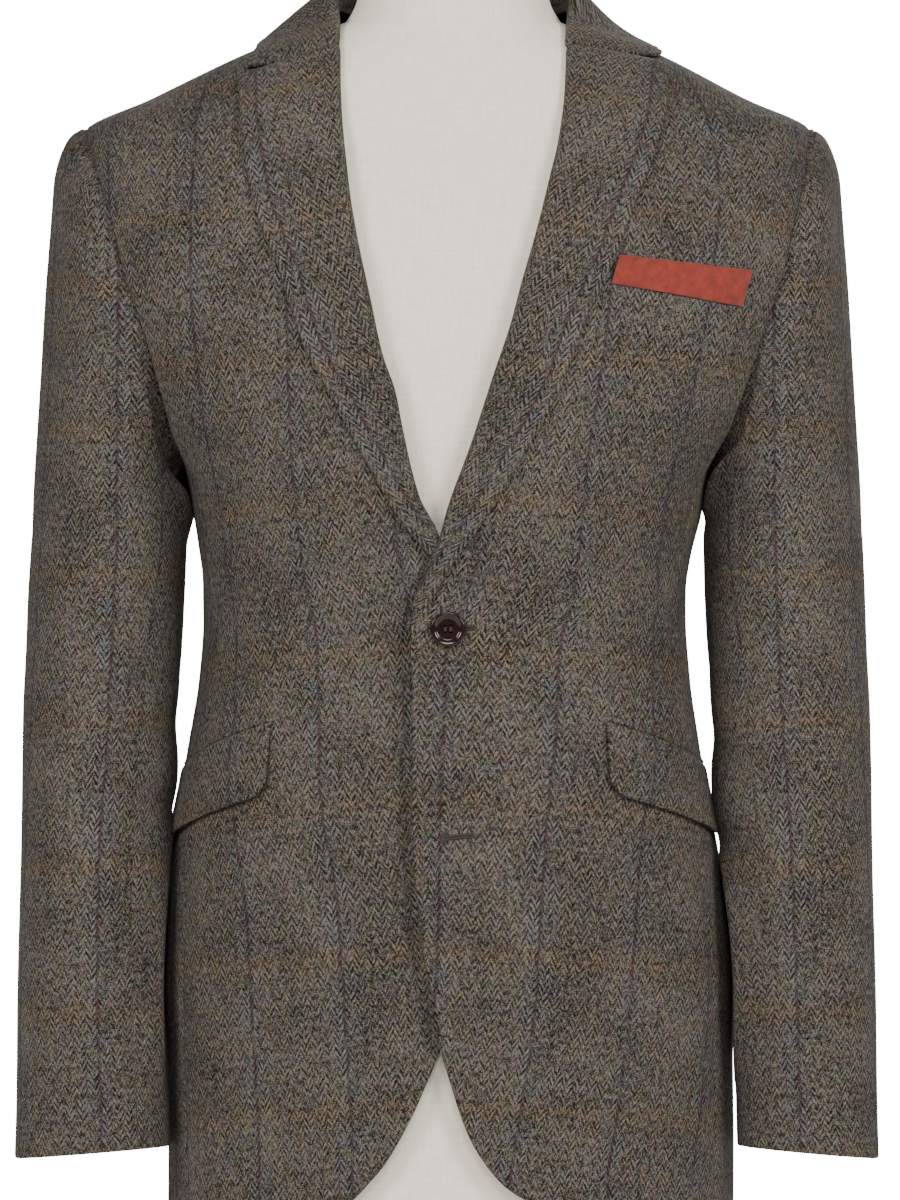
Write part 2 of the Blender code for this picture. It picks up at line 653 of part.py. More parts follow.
def lapel(side, name, material):
    roll_start, edge_start = LAPEL_START[side]
    outer, inner = [], []
    for share in LAPEL_SHARES:
        roll_height = roll_start + share * (GORGE_ROLL_HEIGHT - roll_start)
        edge_height = edge_start + share * (LAPEL_TOP_HEIGHT[side] - edge_start)
        line = [
            (float(FRONT_EDGE[side](roll_height)), roll_height),
            (float(LAPEL_EDGE[side](edge_height)), edge_height),
        ]
        out_row, in_row = rolled_row(side, line)
        outer.append(out_row)
        inner.append(in_row)
    return cloth_wall(name, np.array(outer), np.array(inner), material)


def collar_leaf_row(side, leaf):
    """A row of the collar in front of the shoulder, where it lies on the body like the lapel."""
    shift = float(centre_at(leaf.fold_height))
    places = (
        (leaf.fold_x, leaf.fold_height),
        (leaf.bend_x, leaf.bend_height),
        (leaf.edge_x, leaf.edge_height),
    )
    outer, inner = rolled_row(side, [(side * x + shift, height) for x, height in places])
    return (outer + inner) / 2


def collar_rib_row(side, rib):
    """A row of the collar round the back of the neck: stand, fold and fall."""
    shift = float(centre_at(rib.height))
    out = unit(np.array([side * rib.out_x, rib.out_y, 0.0]))
    up = np.array([0.0, 0.0, 1.0])
    radius = ROLL_INNER + CLOTH / 2
    centre = np.array([shift + side * rib.x, rib.y, rib.height])
    foot = centre - radius * out - rib.stand * (up + STAND_LEAN * out)
    row = [foot, (foot + centre - radius * out) / 2]
    for angle in COLLAR_TURNS:
        turn = math.radians(angle)
        row.append(centre + radius * (math.cos(turn) * out + math.sin(turn) * up))
    theta = side * rib.edge_theta
    edge = body_point(theta, rib.edge_height)
    edge = edge + body_normal(theta, rib.edge_height) * (2 * LAYER_GAP + CLOTH / 2)
    start = row[-1]
    bulge = (start + edge) / 2 + rib.belly * unit(out + FALL_LIFT * up)
    for share in FALL_SHARES:
        row.append(
            start * (1 - share) ** 2 + bulge * 2 * share * (1 - share) + edge * share**2
        )
    return np.array(row)


def spline_rows(stations, rows, wanted):
    """Rows at the wanted stations, on a smooth curve through the given ones."""
    order = np.argsort(stations)
    places = np.asarray(stations, float)[order]
    keys = np.asarray(rows)[order]
    slopes = np.gradient(keys, places, axis=0)
    found = []
    for place in wanted:
        i = int(np.clip(np.searchsorted(places, place) - 1, 0, len(places) - 2))
        span = places[i + 1] - places[i]
        u = (place - places[i]) / span
        found.append(
            keys[i] * (1 + 2 * u) * (1 - u) ** 2
            + slopes[i] * span * u * (1 - u) ** 2
            + keys[i + 1] * u**2 * (3 - 2 * u)
            + slopes[i + 1] * span * u**2 * (u - 1)
        )
    return np.array(found)


def grid_normals(grid):
    down = np.gradient(grid, axis=0)
    across = np.gradient(grid, axis=1)
    return unit(np.cross(across, down))


def collar(name, material):
    stations, rows = [], []
    for side in (1, -1):
        for leaf in COLLAR_LEAF[side]:
            stations.append(side * leaf.station)
            rows.append(collar_leaf_row(side, leaf))
        for rib in COLLAR_RIBS[side]:
            stations.append(side * rib.station)
            rows.append(collar_rib_row(side, rib))
    stations.append(COLLAR_BACK.station)
    rows.append(collar_rib_row(1, COLLAR_BACK))
    middle = spline_rows(stations, rows, np.linspace(-1, 1, COLLAR_STATIONS))
    normals = grid_normals(middle)
    if normals[COLLAR_STATIONS // 2, -1, 1] < 0:
        normals = -normals
    return cloth_wall(
        name, middle + normals * CLOTH / 2, middle - normals * CLOTH / 2, material
    )


# ---------------------------------------------------------------------------------------
# Sleeves

SLEEVE_EDGES = {
    1: (column(SLEEVE_ROWS[::-1], "height", "inner_left"),
        column(SLEEVE_ROWS[::-1], "height", "outer_left")),
    -1: (column(SLEEVE_ROWS[::-1], "height", "inner_right"),
         column(SLEEVE_ROWS[::-1], "height", "outer_right")),
}
head_edge_at = column(HEAD_EDGE, "height", "x")
sleeve_middle_at = column(SLEEVE_ROWS[::-1], "height", "middle")
sleeve_depth_at = column(SLEEVE_ROWS[::-1], "height", "half_depth")
sleeve_tilt_at = column(SLEEVE_ROWS[::-1], "height", "tilt")


def crease_depth(side, angle, height):
    """How far the creases pull the sleeve in at a place round the arm."""
    depth = np.zeros_like(np.asarray(height, float))
    for crease in SLEEVE_CREASES:
        if crease.side != side:
            continue
        off = (np.asarray(angle, float) - crease.angle + 180) % 360 - 180
        along = off / crease.reach
        across = (height - crease.height - crease.rise * off) / crease.width
        depth = depth + crease.depth * np.exp(-(along**2) - across**2)
    return depth


def arm_point(side, angle, height):
    """A point of the sleeve below the underarm, angle 0 outside, 90 in front, 180 inside."""
    turn = np.radians(np.asarray(angle, float))
    height = np.asarray(height, float)
    inner_at, outer_at = SLEEVE_EDGES[side]
    middle_x = (inner_at(height) + outer_at(height)) / 2
    half = (outer_at(height) - inner_at(height)) / 2
    way = np.stack([np.cos(turn), -np.sin(turn), np.zeros_like(turn)], axis=-1)
    x = middle_x + half * np.cos(turn)
    y = sleeve_middle_at(height) - sleeve_depth_at(height) * np.sin(turn)
    z = height - sleeve_tilt_at(height) * np.cos(turn)
    points = np.stack([x, y, z], axis=-1)
    return points - way * crease_depth(side, angle, height)[..., None]


def cap_curve(side, angle, station):
    """A point on the fan of curves from the armhole out and down to the arm."""
    angle = np.asarray(angle, float)
    turn = np.radians(angle)
    theta, height = armhole(angle)
    start = body_point(side * theta, height)
    normal = body_normal(side * theta, height)
    start[..., 0] *= side
    normal[..., 0] *= side
    toward = np.stack(
        [np.zeros_like(turn), np.sin(turn) * 0.6, -np.cos(turn)], axis=-1
    )
    start = start + SEAM_GAP * toward
    way = np.array([1.0, 0.0, 0.0]) + CAP_LEAN * normal
    underarm = np.maximum(0.0, -np.cos(turn))[..., None]
    way = unit(way + underarm * np.array([0.0, 0.0, -CAP_UNDERARM_DROP]))
    top_height = SLEEVE_ROWS[0].height
    end = arm_point(side, angle, np.full_like(turn, top_height))
    reach = CAP_REACH_LEAST + CAP_REACH * ((1 + np.cos(turn)) / 2) ** 0.7
    fall = CAP_FALL * (height - top_height)
    one = start + way * reach[..., None]
    two = end + np.stack([np.zeros_like(fall), np.zeros_like(fall), fall], axis=-1)
    u = np.asarray(station, float)[..., None]
    return (
        start * (1 - u) ** 3 + one * 3 * u * (1 - u) ** 2 + two * 3 * u**2 * (1 - u) + end * u**3
    )


def cap_point(side, angle, station):
    """A point of the sleeve head, from the armhole at station 0 to the arm at station 1."""
    angle = np.asarray(angle, float)
    turn = np.radians(angle)
    points = cap_curve(side, angle, station)
    top = cap_curve(side, np.zeros_like(angle), station)
    excess = (top[..., 0] - head_edge_at(top[..., 2])) * smooth_step(station, 0.0, 0.06)
    points[..., 0] -= excess * ((1 + np.cos(turn)) / 2) ** HEAD_TRIM_SPREAD
    radial = np.stack([np.cos(turn), -np.sin(turn), np.zeros_like(turn)], axis=-1)
    fade = smooth_step(station, 0.05, 0.3) * (1 - smooth_step(station, 0.9, 1.0))
    return points - radial * (crease_depth(side, angle, points[..., 2]) * fade)[..., None]


def sleeve_point(side, angle, station):
    """A sleeve point for the given side: station 0 to 1 is the head, 1 to 2 the arm."""
    angle, station = np.broadcast_arrays(
        np.asarray(angle, float), np.asarray(station, float)
    )
    top, cuff = SLEEVE_ROWS[0].height, SLEEVE_ROWS[-1].height
    head = cap_point(side, angle, np.clip(station, 0, 1))
    height = top + (cuff - top) * np.clip(station - 1, 0, 1)
    points = np.where((station < 1)[..., None], head, arm_point(side, angle, height))
    points[..., 0] *= side
    return points


def sleeve_piece(side, first, last, name, material):
    """One of the two pieces of a sleeve, between two seam angles."""
    top, cuff = SLEEVE_ROWS[0].height, SLEEVE_ROWS[-1].height
    arm = [1 + (top - row.height) / (top - cuff) for row in SLEEVE_ROWS]
    stations = np.array([*CAP_STATIONS, *arm])
    angles = np.arange(first, last + 1, ARMHOLE_STEP, dtype=float)
    nudge = math.degrees(SEAM_GAP / 2 / ARM_RADIUS)
    angles[0] += nudge
    angles[-1] -= nudge
    grid_angles, grid_stations = np.meshgrid(angles, stations)
    points = sleeve_point(side, grid_angles, grid_stations)
    around = sleeve_point(side, grid_angles + 1.0, grid_stations) - sleeve_point(
        side, grid_angles - 1.0, grid_stations
    )
    later = np.minimum(grid_stations + 0.01, 2.0)
    sooner = np.maximum(grid_stations - 0.01, 0.0)
    down = sleeve_point(side, grid_angles, later) - sleeve_point(side, grid_angles, sooner)
    normals = side * unit(np.cross(around, down))
    return cloth_wall(name, points, points - normals * CLOTH, material)


# ---------------------------------------------------------------------------------------
# Flaps, welt and button


def flap(side, name, material):
    """A slanted pocket flap, laid on the front and round towards the side."""
    start = float(theta_at(FLAP_FRONT_X[side], FLAP_TOP_FRONT[side]))
    end = side * FLAP_REAR_THETA
    outer, inner = [], []
    for share in FLAP_SHARES:
        top = FLAP_TOP_FRONT[side] + share * (FLAP_TOP_REAR[side] - FLAP_TOP_FRONT[side])
        front_round = max(0.0, 1 - share / FLAP_CORNER)
        rear_round = max(0.0, 1 - (1 - share) / FLAP_CORNER)
        trim = FLAP_CORNER_TRIM * (1 - math.sqrt(1 - max(front_round, rear_round) ** 2))
        height = top - FLAP_DROPS * (FLAP_DEPTH - trim)
        stand = LAYER_GAP + FLAP_STAND * FLAP_DROPS**1.4
        theta = start + share * (end - start) - side * FLAP_LEAN * (1 - share) * FLAP_DROPS
        points, normals = body_point(theta, height), body_normal(theta, height)
        inner.append(points + normals * stand[:, None])
        outer.append(points + normals * (stand[:, None] + CLOTH))
    return cloth_wall(name, np.array(outer), np.array(inner), material)


def breast_welt(name, material):
    outer, inner = [], []
    for share in np.linspace(0, 1, 8):
        top = np.array(WELT_TOP[0]) * (1 - share) + np.array(WELT_TOP[1]) * share
        low = np.array(WELT_BOTTOM[0]) * (1 - share) + np.array(WELT_BOTTOM[1]) * share
        line = top + (low - top) * np.linspace(0, 1, 4)[:, None]
        theta = theta_at(line[:, 0], line[:, 1])
        points, normals = body_point(theta, line[:, 1]), body_normal(theta, line[:, 1])
        inner.append(points + normals * LAYER_GAP)
        outer.append(points + normals * (LAYER_GAP + WELT_THICKNESS))
    return cloth_wall(name, np.array(outer), np.array(inner), material)


def front_button(name, material):
    """A turned four-hole button with a raised rim, lying on the wearer's left front."""
    r, rim = BUTTON_RADIUS, BUTTON_RIM_HEIGHT
    outline = [
        (0, 0), (0.7 * r, 0), (r, 0.5 * rim), (0.96 * r, 0.94 * rim), (0.84 * r, rim),
        (0.66 * r, BUTTON_DISH_HEIGHT + 0.4), (0, BUTTON_DISH_HEIGHT),
    ]
    button = turned(name, outline, 24, material, origin=(0.0, 0.0, -HEM_HEIGHT))
    drill = [(0, -rim), (HOLE_RADIUS, -rim), (HOLE_RADIUS, 2 * rim), (0, 2 * rim)]
    for k in range(4):
        turn = math.radians(45 + 90 * k)
        hole = turned(
            f"cutter_hole_{k}", drill, 8, material,
            origin=(HOLE_OFFSET * math.cos(turn), HOLE_OFFSET * math.sin(turn), -HEM_HEIGHT),
            shade_flat=True,
        )
        hole.hide_render = True
        hole.display_type = "WIRE"
        cut = button.modifiers.new(f"hole_{k}", "BOOLEAN")
        cut.operation = "DIFFERENCE"
        cut.solver = "EXACT"
        cut.object = hole
        hole.parent = button
    theta = theta_at(BUTTON_X, BUTTON_HEIGHT)
    place = body_point(theta, BUTTON_HEIGHT) + body_normal(theta, BUTTON_HEIGHT) * BUTTON_GAP
    button.location = Vector((place + (0.0, 0.0, HEM_HEIGHT)) * MM)
    button.rotation_euler = Vector(body_normal(theta, BUTTON_HEIGHT)).to_track_quat(
        "Z", "Y"
    ).to_euler()
    return button


# ---------------------------------------------------------------------------------------
# Dress form and stand

form_inset_at = Profile(
    (-30, 300, 500, 600, 672, 690, 706, 720, 760),
    (12.0, 12.0, 11.0, 9.5, 8.0, 7.0, 5.0, 4.0, 3.6),
)
FORM_HEIGHTS = (-22, 20, 90, 160, 229, 290, 345, 383, 421, 472, 505, 540, 575, 613, 645, 668,
                684, 696, 706, 717, 730, 743, 754)
FORM_STEPS = 32


def dress_form(name, material):
    """The torso and neck that the jacket rests on, one closed body."""
    quarter = 90 * (1 - np.cos(np.linspace(0, math.pi / 2, FORM_STEPS // 4 + 1)))
    theta = np.concatenate([90 - quarter[::-1][:-1], 90 + quarter[:-1]])
    theta = np.concatenate([theta, theta + 180])
    rings = []
    under = body_point(theta, float(FORM_BOTTOM))
    middle = under.mean(0)
    rings.append(middle + (under - middle) * np.array([FORM_FOOT, FORM_FOOT, 1.0]))
    for height in FORM_HEIGHTS:
        points = body_point(theta, float(height))
        rings.append(points - body_normal(theta, float(height)) * form_inset_at(height))
    rings[1][:, 2] = FORM_BOTTOM + FORM_EDGE_ROUND
    rings[0][:, 2] = FORM_BOTTOM
    shift = float(centre_at(SHOULDER_NECK_HEIGHT))
    for section in FORM_NECK:
        sine, cosine = np.sin(np.radians(theta)), np.cos(np.radians(theta))
        depth = np.where(cosine > 0, section.front, section.back)
        ring = np.stack(
            [shift + section.half_width * sine, -depth * cosine, np.full_like(sine, section.height)],
            axis=-1,
        )
        rings.append(ring)
    return closed_tube(name, rings, material)


def build():
    tweed = new_material("tweed", (0.098, 0.083, 0.066), 0.95)
    tweed_dark = new_material("tweed_turned", (0.085, 0.073, 0.058), 0.95)
    red_cloth = new_material("red_wool", (0.319, 0.059, 0.040), 0.85)
    horn = new_material("dark_horn", (0.026, 0.010, 0.008), 0.25)
    linen = new_material("linen", (0.78, 0.74, 0.66), 0.9)
    beech = new_material("beech", (0.42, 0.26, 0.13), 0.5)
    steel = new_material("brushed_steel", (0.55, 0.55, 0.55), 0.35, 1.0)

    for side, word in ((1, "left"), (-1, "right")):
        front_panel(side, f"front_{word}", tweed)
        side_panel(side, f"side_{word}", tweed)
        back_panel(side, f"back_{word}", tweed)
        lapel(side, f"lapel_{word}", tweed_dark)
        sleeve_piece(
            side, SLEEVE_SEAM_BACK - 360, SLEEVE_SEAM_FRONT, f"top_sleeve_{word}", tweed
        )
        sleeve_piece(
            side, SLEEVE_SEAM_FRONT, SLEEVE_SEAM_BACK, f"under_sleeve_{word}", tweed_dark
        )
        flap(side, f"flap_{word}", tweed_dark)
    collar("collar", tweed_dark)
    breast_welt("breast_welt", red_cloth)
    front_button("button", horn)

    dress_form("dress_form", linen)
    neck = FORM_NECK[-1]
    neck_middle = (
        float(centre_at(SHOULDER_NECK_HEIGHT)), (neck.back - neck.front) / 2,
        neck.height + SEAM_GAP,
    )
    r, h = NECK_CAP_RADIUS, NECK_CAP_HEIGHT
    turned(
        "neck_cap",
        [(0, 0), (r, 0), (r + 2, 0.2 * h), (r + 1, 0.55 * h), (0.7 * r, 0.9 * h), (0, h)],
        32, beech, origin=neck_middle,
    )
    floor = -HEM_HEIGHT
    base_top = floor + BASE_THICKNESS
    pole_low, pole_high = base_top + SEAM_GAP, FORM_BOTTOM - SEAM_GAP
    turned(
        "stand_pole",
        [(0, pole_low), (POLE_RADIUS, pole_low), (POLE_RADIUS, pole_high), (0, pole_high)],
        24, steel,
    )
    r = BASE_RADIUS
    turned(
        "stand_base",
        [(0, floor), (r, floor), (r, floor + 10), (r - 6, base_top - 4), (r - 16, base_top),
         (0, base_top)],
        48, beech,
    )


for existing in list(bpy.data.objects):
    bpy.data.objects.remove(existing, do_unlink=True)
build()
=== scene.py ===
"""Tweed hacking jacket in its worn form, on a linen-covered dress form with a low round stand.

The visual model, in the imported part's frame: metres, +Z up, the front faces -Y and the wearer's
left is +X. Garment sizes are named in millimetres, and heights are above the hem, which hangs
HEM_HEIGHT above the floor. Every cloth piece lies on one body shape, given by an angle (0 at the
centre front, +90 at the wearer's left side, 180 at the centre back) and a height.
"""

import logging
import math
from dataclasses import dataclass, field
from enum import Enum
from typing import Optional, Sequence

import bmesh
import bpy
import numpy as np
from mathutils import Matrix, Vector


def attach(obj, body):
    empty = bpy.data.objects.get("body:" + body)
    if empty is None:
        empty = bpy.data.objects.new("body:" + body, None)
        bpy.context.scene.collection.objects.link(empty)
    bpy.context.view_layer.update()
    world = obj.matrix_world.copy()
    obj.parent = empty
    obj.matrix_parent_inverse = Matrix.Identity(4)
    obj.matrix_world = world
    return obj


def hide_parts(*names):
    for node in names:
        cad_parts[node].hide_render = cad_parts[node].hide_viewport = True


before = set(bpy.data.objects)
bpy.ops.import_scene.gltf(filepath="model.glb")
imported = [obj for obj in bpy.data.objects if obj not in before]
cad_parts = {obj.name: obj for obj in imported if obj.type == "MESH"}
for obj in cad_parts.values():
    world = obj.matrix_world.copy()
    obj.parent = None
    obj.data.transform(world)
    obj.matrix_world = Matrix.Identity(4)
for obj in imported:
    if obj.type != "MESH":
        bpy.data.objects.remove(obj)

Array = np.ndarray
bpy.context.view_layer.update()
LOG = logging.getLogger("hacking_jacket")

MM = 0.001
HEM_HEIGHT = 150.0
CLOTH = 2.2
LAYER_GAP = 0.6
OVERLAP_SINK = CLOTH + 0.8
SEAM_SET = 0.05
UV_UNIT = 100.0  # millimetres of cloth for one unit of a texture map
BAR_START = 72.0  # height above the hem of the first ochre bar on the body
SEAM_STEPS = (0.0, 0.6, 1.5, 3.0, 5.5)  # close rows at a seam, in millimetres
EDGE_STEPS = (0.0, 0.7, 1.6, 3.0, 5.0)  # close rows at a turned edge, in millimetres
EDGE_SHARES = (0.0, 0.006, 0.016, 0.032, 0.055)  # the same on a pocket, as shares of it


class Side(Enum):
    """The wearer's left or right."""

    LEFT = 1
    RIGHT = -1

    @property
    def word(self) -> str:
        """The side's name in a piece name."""
        return self.name.lower()


class Layer(Enum):
    """What a seam's edge does: turned in and free, or sewn to its neighbour."""

    FREE = "free"
    SEWN = "sewn"


# ------------------------------------------------------------------------------------------
# Measured tables: those of the solids, but for the start of the right lapel, the stripes and
# how the sleeves hang


@dataclass(frozen=True)
class Section:
    """One level of the body shape: half its width, its depths, its roundness and its middle."""

    height: float
    half_width: float
    front: float
    back: float
    round_front: float
    round_back: float
    centre: float


BODY_SECTIONS = [Section(*row) for row in (
    (-30, 181.5, 132, 150, 2.3, 2.3, 2.5), (0, 181.5, 132, 150, 2.3, 2.3, 2.5),
    (139, 183, 130, 149, 2.3, 2.3, 1), (229, 176.5, 128, 143, 2.32, 2.3, -1.5),
    (277, 168.5, 127, 134, 2.35, 2.32, -2), (306, 163.5, 126, 128, 2.37, 2.33, -2),
    (345, 157.5, 125, 122, 2.4, 2.35, -2), (383, 155, 125, 120, 2.4, 2.35, -2),
    (421, 157.5, 129, 121, 2.42, 2.37, -1.5), (451, 163, 133, 125, 2.45, 2.4, 0),
    (472, 167, 135, 128, 2.5, 2.4, 0), (505, 190, 138, 132, 2.53, 2.45, 2),
    (555, 216, 138, 136, 2.6, 2.45, 4), (613, 235, 130, 136, 2.72, 2.4, 4.5),
    (663, 237, 112, 126, 2.9, 2.3, 3), (681, 235, 103, 119, 2.85, 2.25, 1.5),
    (696, 232.5, 95, 112, 2.7, 2.2, 0.4), (717, 190.5, 85, 101, 2.45, 2.12, 0.8),
    (746, 132.5, 73, 85, 2.2, 2.05, 3), (768, 79, 62, 70, 2.0, 2.0, 4),
    (780, 66, 56, 62, 2.0, 2.0, 4),
)]

FRONT_EDGES = {
    Side.LEFT: [
        (0, 82), (6, 66), (12.8, 53), (18, 43.5), (25.6, 34), (40, 22.4), (53, 14.7), (69, 8.3),
        (85, 3.2), (110, -4), (139.5, -7.5), (165, -14), (191, -17.3), (216, -19.8),
        (267, -21.8), (331, -21.8), (370, -23), (386, -21.8), (402, -15.5), (415, -10.5),
        (429, -3), (456, 5), (491, 18), (514, 25.6), (540, 34), (568, 43.5), (597, 51.2),
        (626, 59.5), (664, 69), (690, 75), (722, 79), (748, 80), (768, 80),
    ],
    Side.RIGHT: [
        (0, -85), (6, -74), (12.8, -62), (25.6, -49.3), (37, -39.7), (53, -30), (71, -20.5),
        (86, -14), (110, -4.5), (139, 3), (190, 12), (267, 18), (377, 20), (402, 16), (416, 7),
        (429, -4.5), (440, -9.6), (459, -20.5), (504, -32), (527, -36.5), (549, -44.2),
        (587, -52.5), (626, -60.8), (651, -65), (677, -68), (703, -70.5), (722, -71.5),
        (748, -72), (768, -72),
    ],
}
LAPEL_EDGES = {
    Side.LEFT: [
        (388, -16.5), (396, -10), (408, -3), (421, 5), (443, 21), (469, 37), (491, 50),
        (507, 59.5), (531, 72.3), (575, 88.3), (594, 98), (623, 110.7), (642, 117), (674, 130),
        (693, 136), (712, 140), (734, 140.5),
    ],
    Side.RIGHT: [
        (417, -5), (426, -12), (436, -21), (447, -30), (475, -46), (498, -59), (517, -68.5),
        (539, -81), (559, -91), (587, -100.5), (607, -107), (626, -115), (645, -121.6),
        (664, -126), (683, -129), (703, -131.5), (731, -132),
    ],
}
# Paths of one woven stripe down each front: (height, place across)
STRIPE_PATHS = {
    Side.LEFT: [
        (30.7, 40.3), (139.5, 56.3), (248, 62.7), (306, 69.1), (370, 72.3), (395.5, 80),
        (472, 88.3), (594, 104.3), (651, 109), (731.5, 96),
    ],
    Side.RIGHT: [
        (56.3, -60.2), (139.5, -65.3), (203.5, -69.8), (267.5, -80), (363.5, -82.6),
        (421, -92.2), (491.5, -99.2), (587.5, -101.8), (741, -95),
    ],
}
# How far apart the woven stripes lie on the wearer's left front, at heights above the hem
STRIPE_STEPS = [(165, 64.5), (236, 66.5), (268, 69.5), (300, 72), (364, 73), (420, 66)]
# The shaded hollow of each sleeve under the chest: its depth and its reach
SLEEVE_HOLLOWS = {Side.LEFT: (8.0, 7.0), Side.RIGHT: (12.0, 10.0)}
# Where each sleeve leans on the body: how far, and the heights where that starts, is whole,
# begins to fade and ends
SLEEVE_LEANS = {
    Side.LEFT: [(10.5, 444.0, 467.0, 476.0, 502.0), (7.5, 80.0, 130.0, 262.0, 330.0)],
    Side.RIGHT: [(9.0, 428.0, 458.0, 463.0, 484.0), (7.5, 80.0, 130.0, 262.0, 330.0)],
}
ROLL_STARTS = {Side.LEFT: (391.0, 389.0), Side.RIGHT: (424.0, 419.0)}


@dataclass(frozen=True)
class SleeveRow:
    """One level of the sleeves: inner and outer edges, middle, half depth and hem tilt."""

    height: float
    inner_right: float
    outer_right: float
    inner_left: float
    outer_left: float
    middle: float
    half_depth: float
    tilt: float


SLEEVE_ROWS = [SleeveRow(*row) for row in (
    (430, 167.0, 266.5, 164.5, 266.5, -2, 67, 0), (395, 168.5, 269.0, 165.5, 268.3, -3, 64, 0),
    (360, 170.0, 270.3, 167.0, 269.5, -6, 61, 0), (330, 171.5, 271.5, 168.5, 270.8, -9, 59, 0),
    (300, 174.0, 271.9, 170.5, 271.5, -13, 57, 0),
    (270, 178.0, 272.3, 174.5, 272.0, -19, 55, 0),
    (240, 180.5, 272.9, 178.0, 272.5, -27, 53, 0),
    (200, 182.0, 273.8, 180.0, 273.2, -35, 50, 1),
    (160, 182.3, 274.5, 182.0, 274.0, -38, 48, 2),
    (115, 180.5, 275.3, 183.8, 275.0, -40, 46, 3), (75, 177.5, 276.0, 184.5, 275.8, -42, 45, 4),
    (43, 176.0, 276.8, 185.0, 276.5, -44, 44, 4),
)]


@dataclass(frozen=True)
class LeafLine:
    """A line of the collar's front leaf, laid on the body from the fold to the outer edge."""

    station: float
    fold_x: float
    fold_height: float
    bend_x: float
    bend_height: float
    edge_x: float
    edge_height: float


COLLAR_LEAF = {
    Side.LEFT: [
        LeafLine(1.00, 76, 749.2, 117, 742.2, 132, 742.2),
        LeafLine(0.93, 76, 757.0, 108, 750.0, 133, 744.5),
        LeafLine(0.87, 76.3, 763.5, 99, 756.0, 131, 746.8),
    ],
    Side.RIGHT: [
        LeafLine(1.00, 76, 748.6, 114, 736.4, 131, 733.8),
        LeafLine(0.93, 76, 756.4, 107, 746.5, 130, 739.0),
        LeafLine(0.87, 76.3, 763.5, 99, 754.6, 126, 745.4),
    ],
}


@dataclass(frozen=True)
class CollarRib:
    """A rib of the collar round the neck: fold centre, way out, stand, edge and belly."""

    station: float
    x: float
    y: float
    height: float
    out_x: float
    out_y: float
    stand: float
    edge_theta: float
    edge_height: float
    belly: float


COLLAR_BACK = CollarRib(0.00, 0, 71, 796, 0.0, 1.0, 30, 180, 750, 5.0)
COLLAR_RIBS = {
    Side.LEFT: [
        CollarRib(0.72, 79, 4, 784, 1.0, 0.05, 11, 94, 747.5, -7.0),
        CollarRib(0.60, 74, 24, 790, 0.93, 0.37, 18, 112, 751, -1.0),
        CollarRib(0.45, 61, 45, 793, 0.74, 0.67, 25, 133, 752, 4.0),
        CollarRib(0.22, 34, 64, 795, 0.36, 0.93, 29, 158, 751, 5.0),
    ],
    Side.RIGHT: [
        CollarRib(0.72, 79, 4, 784, 1.0, 0.05, 11, 94, 750.0, 2.0),
        CollarRib(0.60, 74, 24, 790, 0.93, 0.37, 18, 112, 752, 3.0),
        CollarRib(0.45, 61, 45, 793, 0.74, 0.67, 25, 133, 752, 4.0),
        CollarRib(0.22, 34, 64, 795, 0.36, 0.93, 29, 158, 751, 5.0),
    ],
}
# Outer edge of the sleeve head, from the arm up to the shoulder tip: (height, place across)
HEAD_EDGE_LINE = [
    (430, 266.5), (466, 264.9), (523, 261.8), (587, 257.6), (632, 254.4), (651, 253.2),
    (664, 252.3), (673, 250.6), (683.5, 246.8), (691, 241.3), (696, 232.8),
]


@dataclass(frozen=True)
class Fold:
    """A soft trough (or a ridge, when depth is negative) in the cloth of the body.

    across and height give its middle: degrees round the body and millimetres above the hem.
    lean is its angle from upright, positive towards the wearer's left as it rises."""

    across: float
    height: float
    lean: float
    length: float
    width: float
    depth: float


@dataclass(frozen=True)
class SleeveCrease:
    """A soft trough round a sleeve: its middle, reach round and up, depth, and rise."""

    angle: float
    height: float
    reach: float
    width: float
    depth: float
    rise: float


BODY_FOLDS = [Fold(*row) for row in (
    (-9, 392, 72, 34, 7, 0.9), (-14, 366, 104, 38, 8, 0.8), (17, 388, -70, 42, 7, 0.9),
    (20, 364, -106, 40, 8, 0.7), (-52, 402, 78, 62, 12, 1.3), (50, 410, -76, 58, 12, 1.2),
    (-60, 372, 96, 48, 11, 1.0), (58, 376, -98, 52, 10, 1.1), (-47, 520, 16, 62, 12, 1.6),
    (46, 528, -18, 66, 12, 1.5), (-40, 556, 24, 50, 10, -0.8), (39, 560, -22, 52, 10, -0.7),
    (-33, 480, 62, 52, 12, 0.7), (31, 486, -60, 50, 11, 0.7), (-36, 120, -3, 120, 20, 1.5),
    (34, 110, 4, 126, 22, 1.6), (-58, 96, -2, 110, 18, -1.6), (56, 104, 3, 112, 18, -1.5),
    (-88, 150, 2, 130, 22, 0.6), (90, 140, -3, 134, 22, 0.6), (-104, 408, 82, 60, 12, 1.6),
    (103, 402, -84, 56, 12, 1.5), (150, 404, -80, 66, 13, 1.8), (-152, 396, 78, 70, 13, 1.7),
    (160, 372, -96, 48, 12, 1.2), (-158, 434, 70, 52, 12, 1.3), (128, 560, 14, 90, 16, 1.9),
    (-129, 552, -16, 94, 16, 2.0), (140, 600, 10, 80, 18, -1.2), (-141, 606, -8, 84, 18, -1.3),
    (150, 120, 2, 120, 22, 1.6), (-146, 112, -3, 124, 24, 1.7), (176, 722, -88, 48, 8, 1.0),
)]
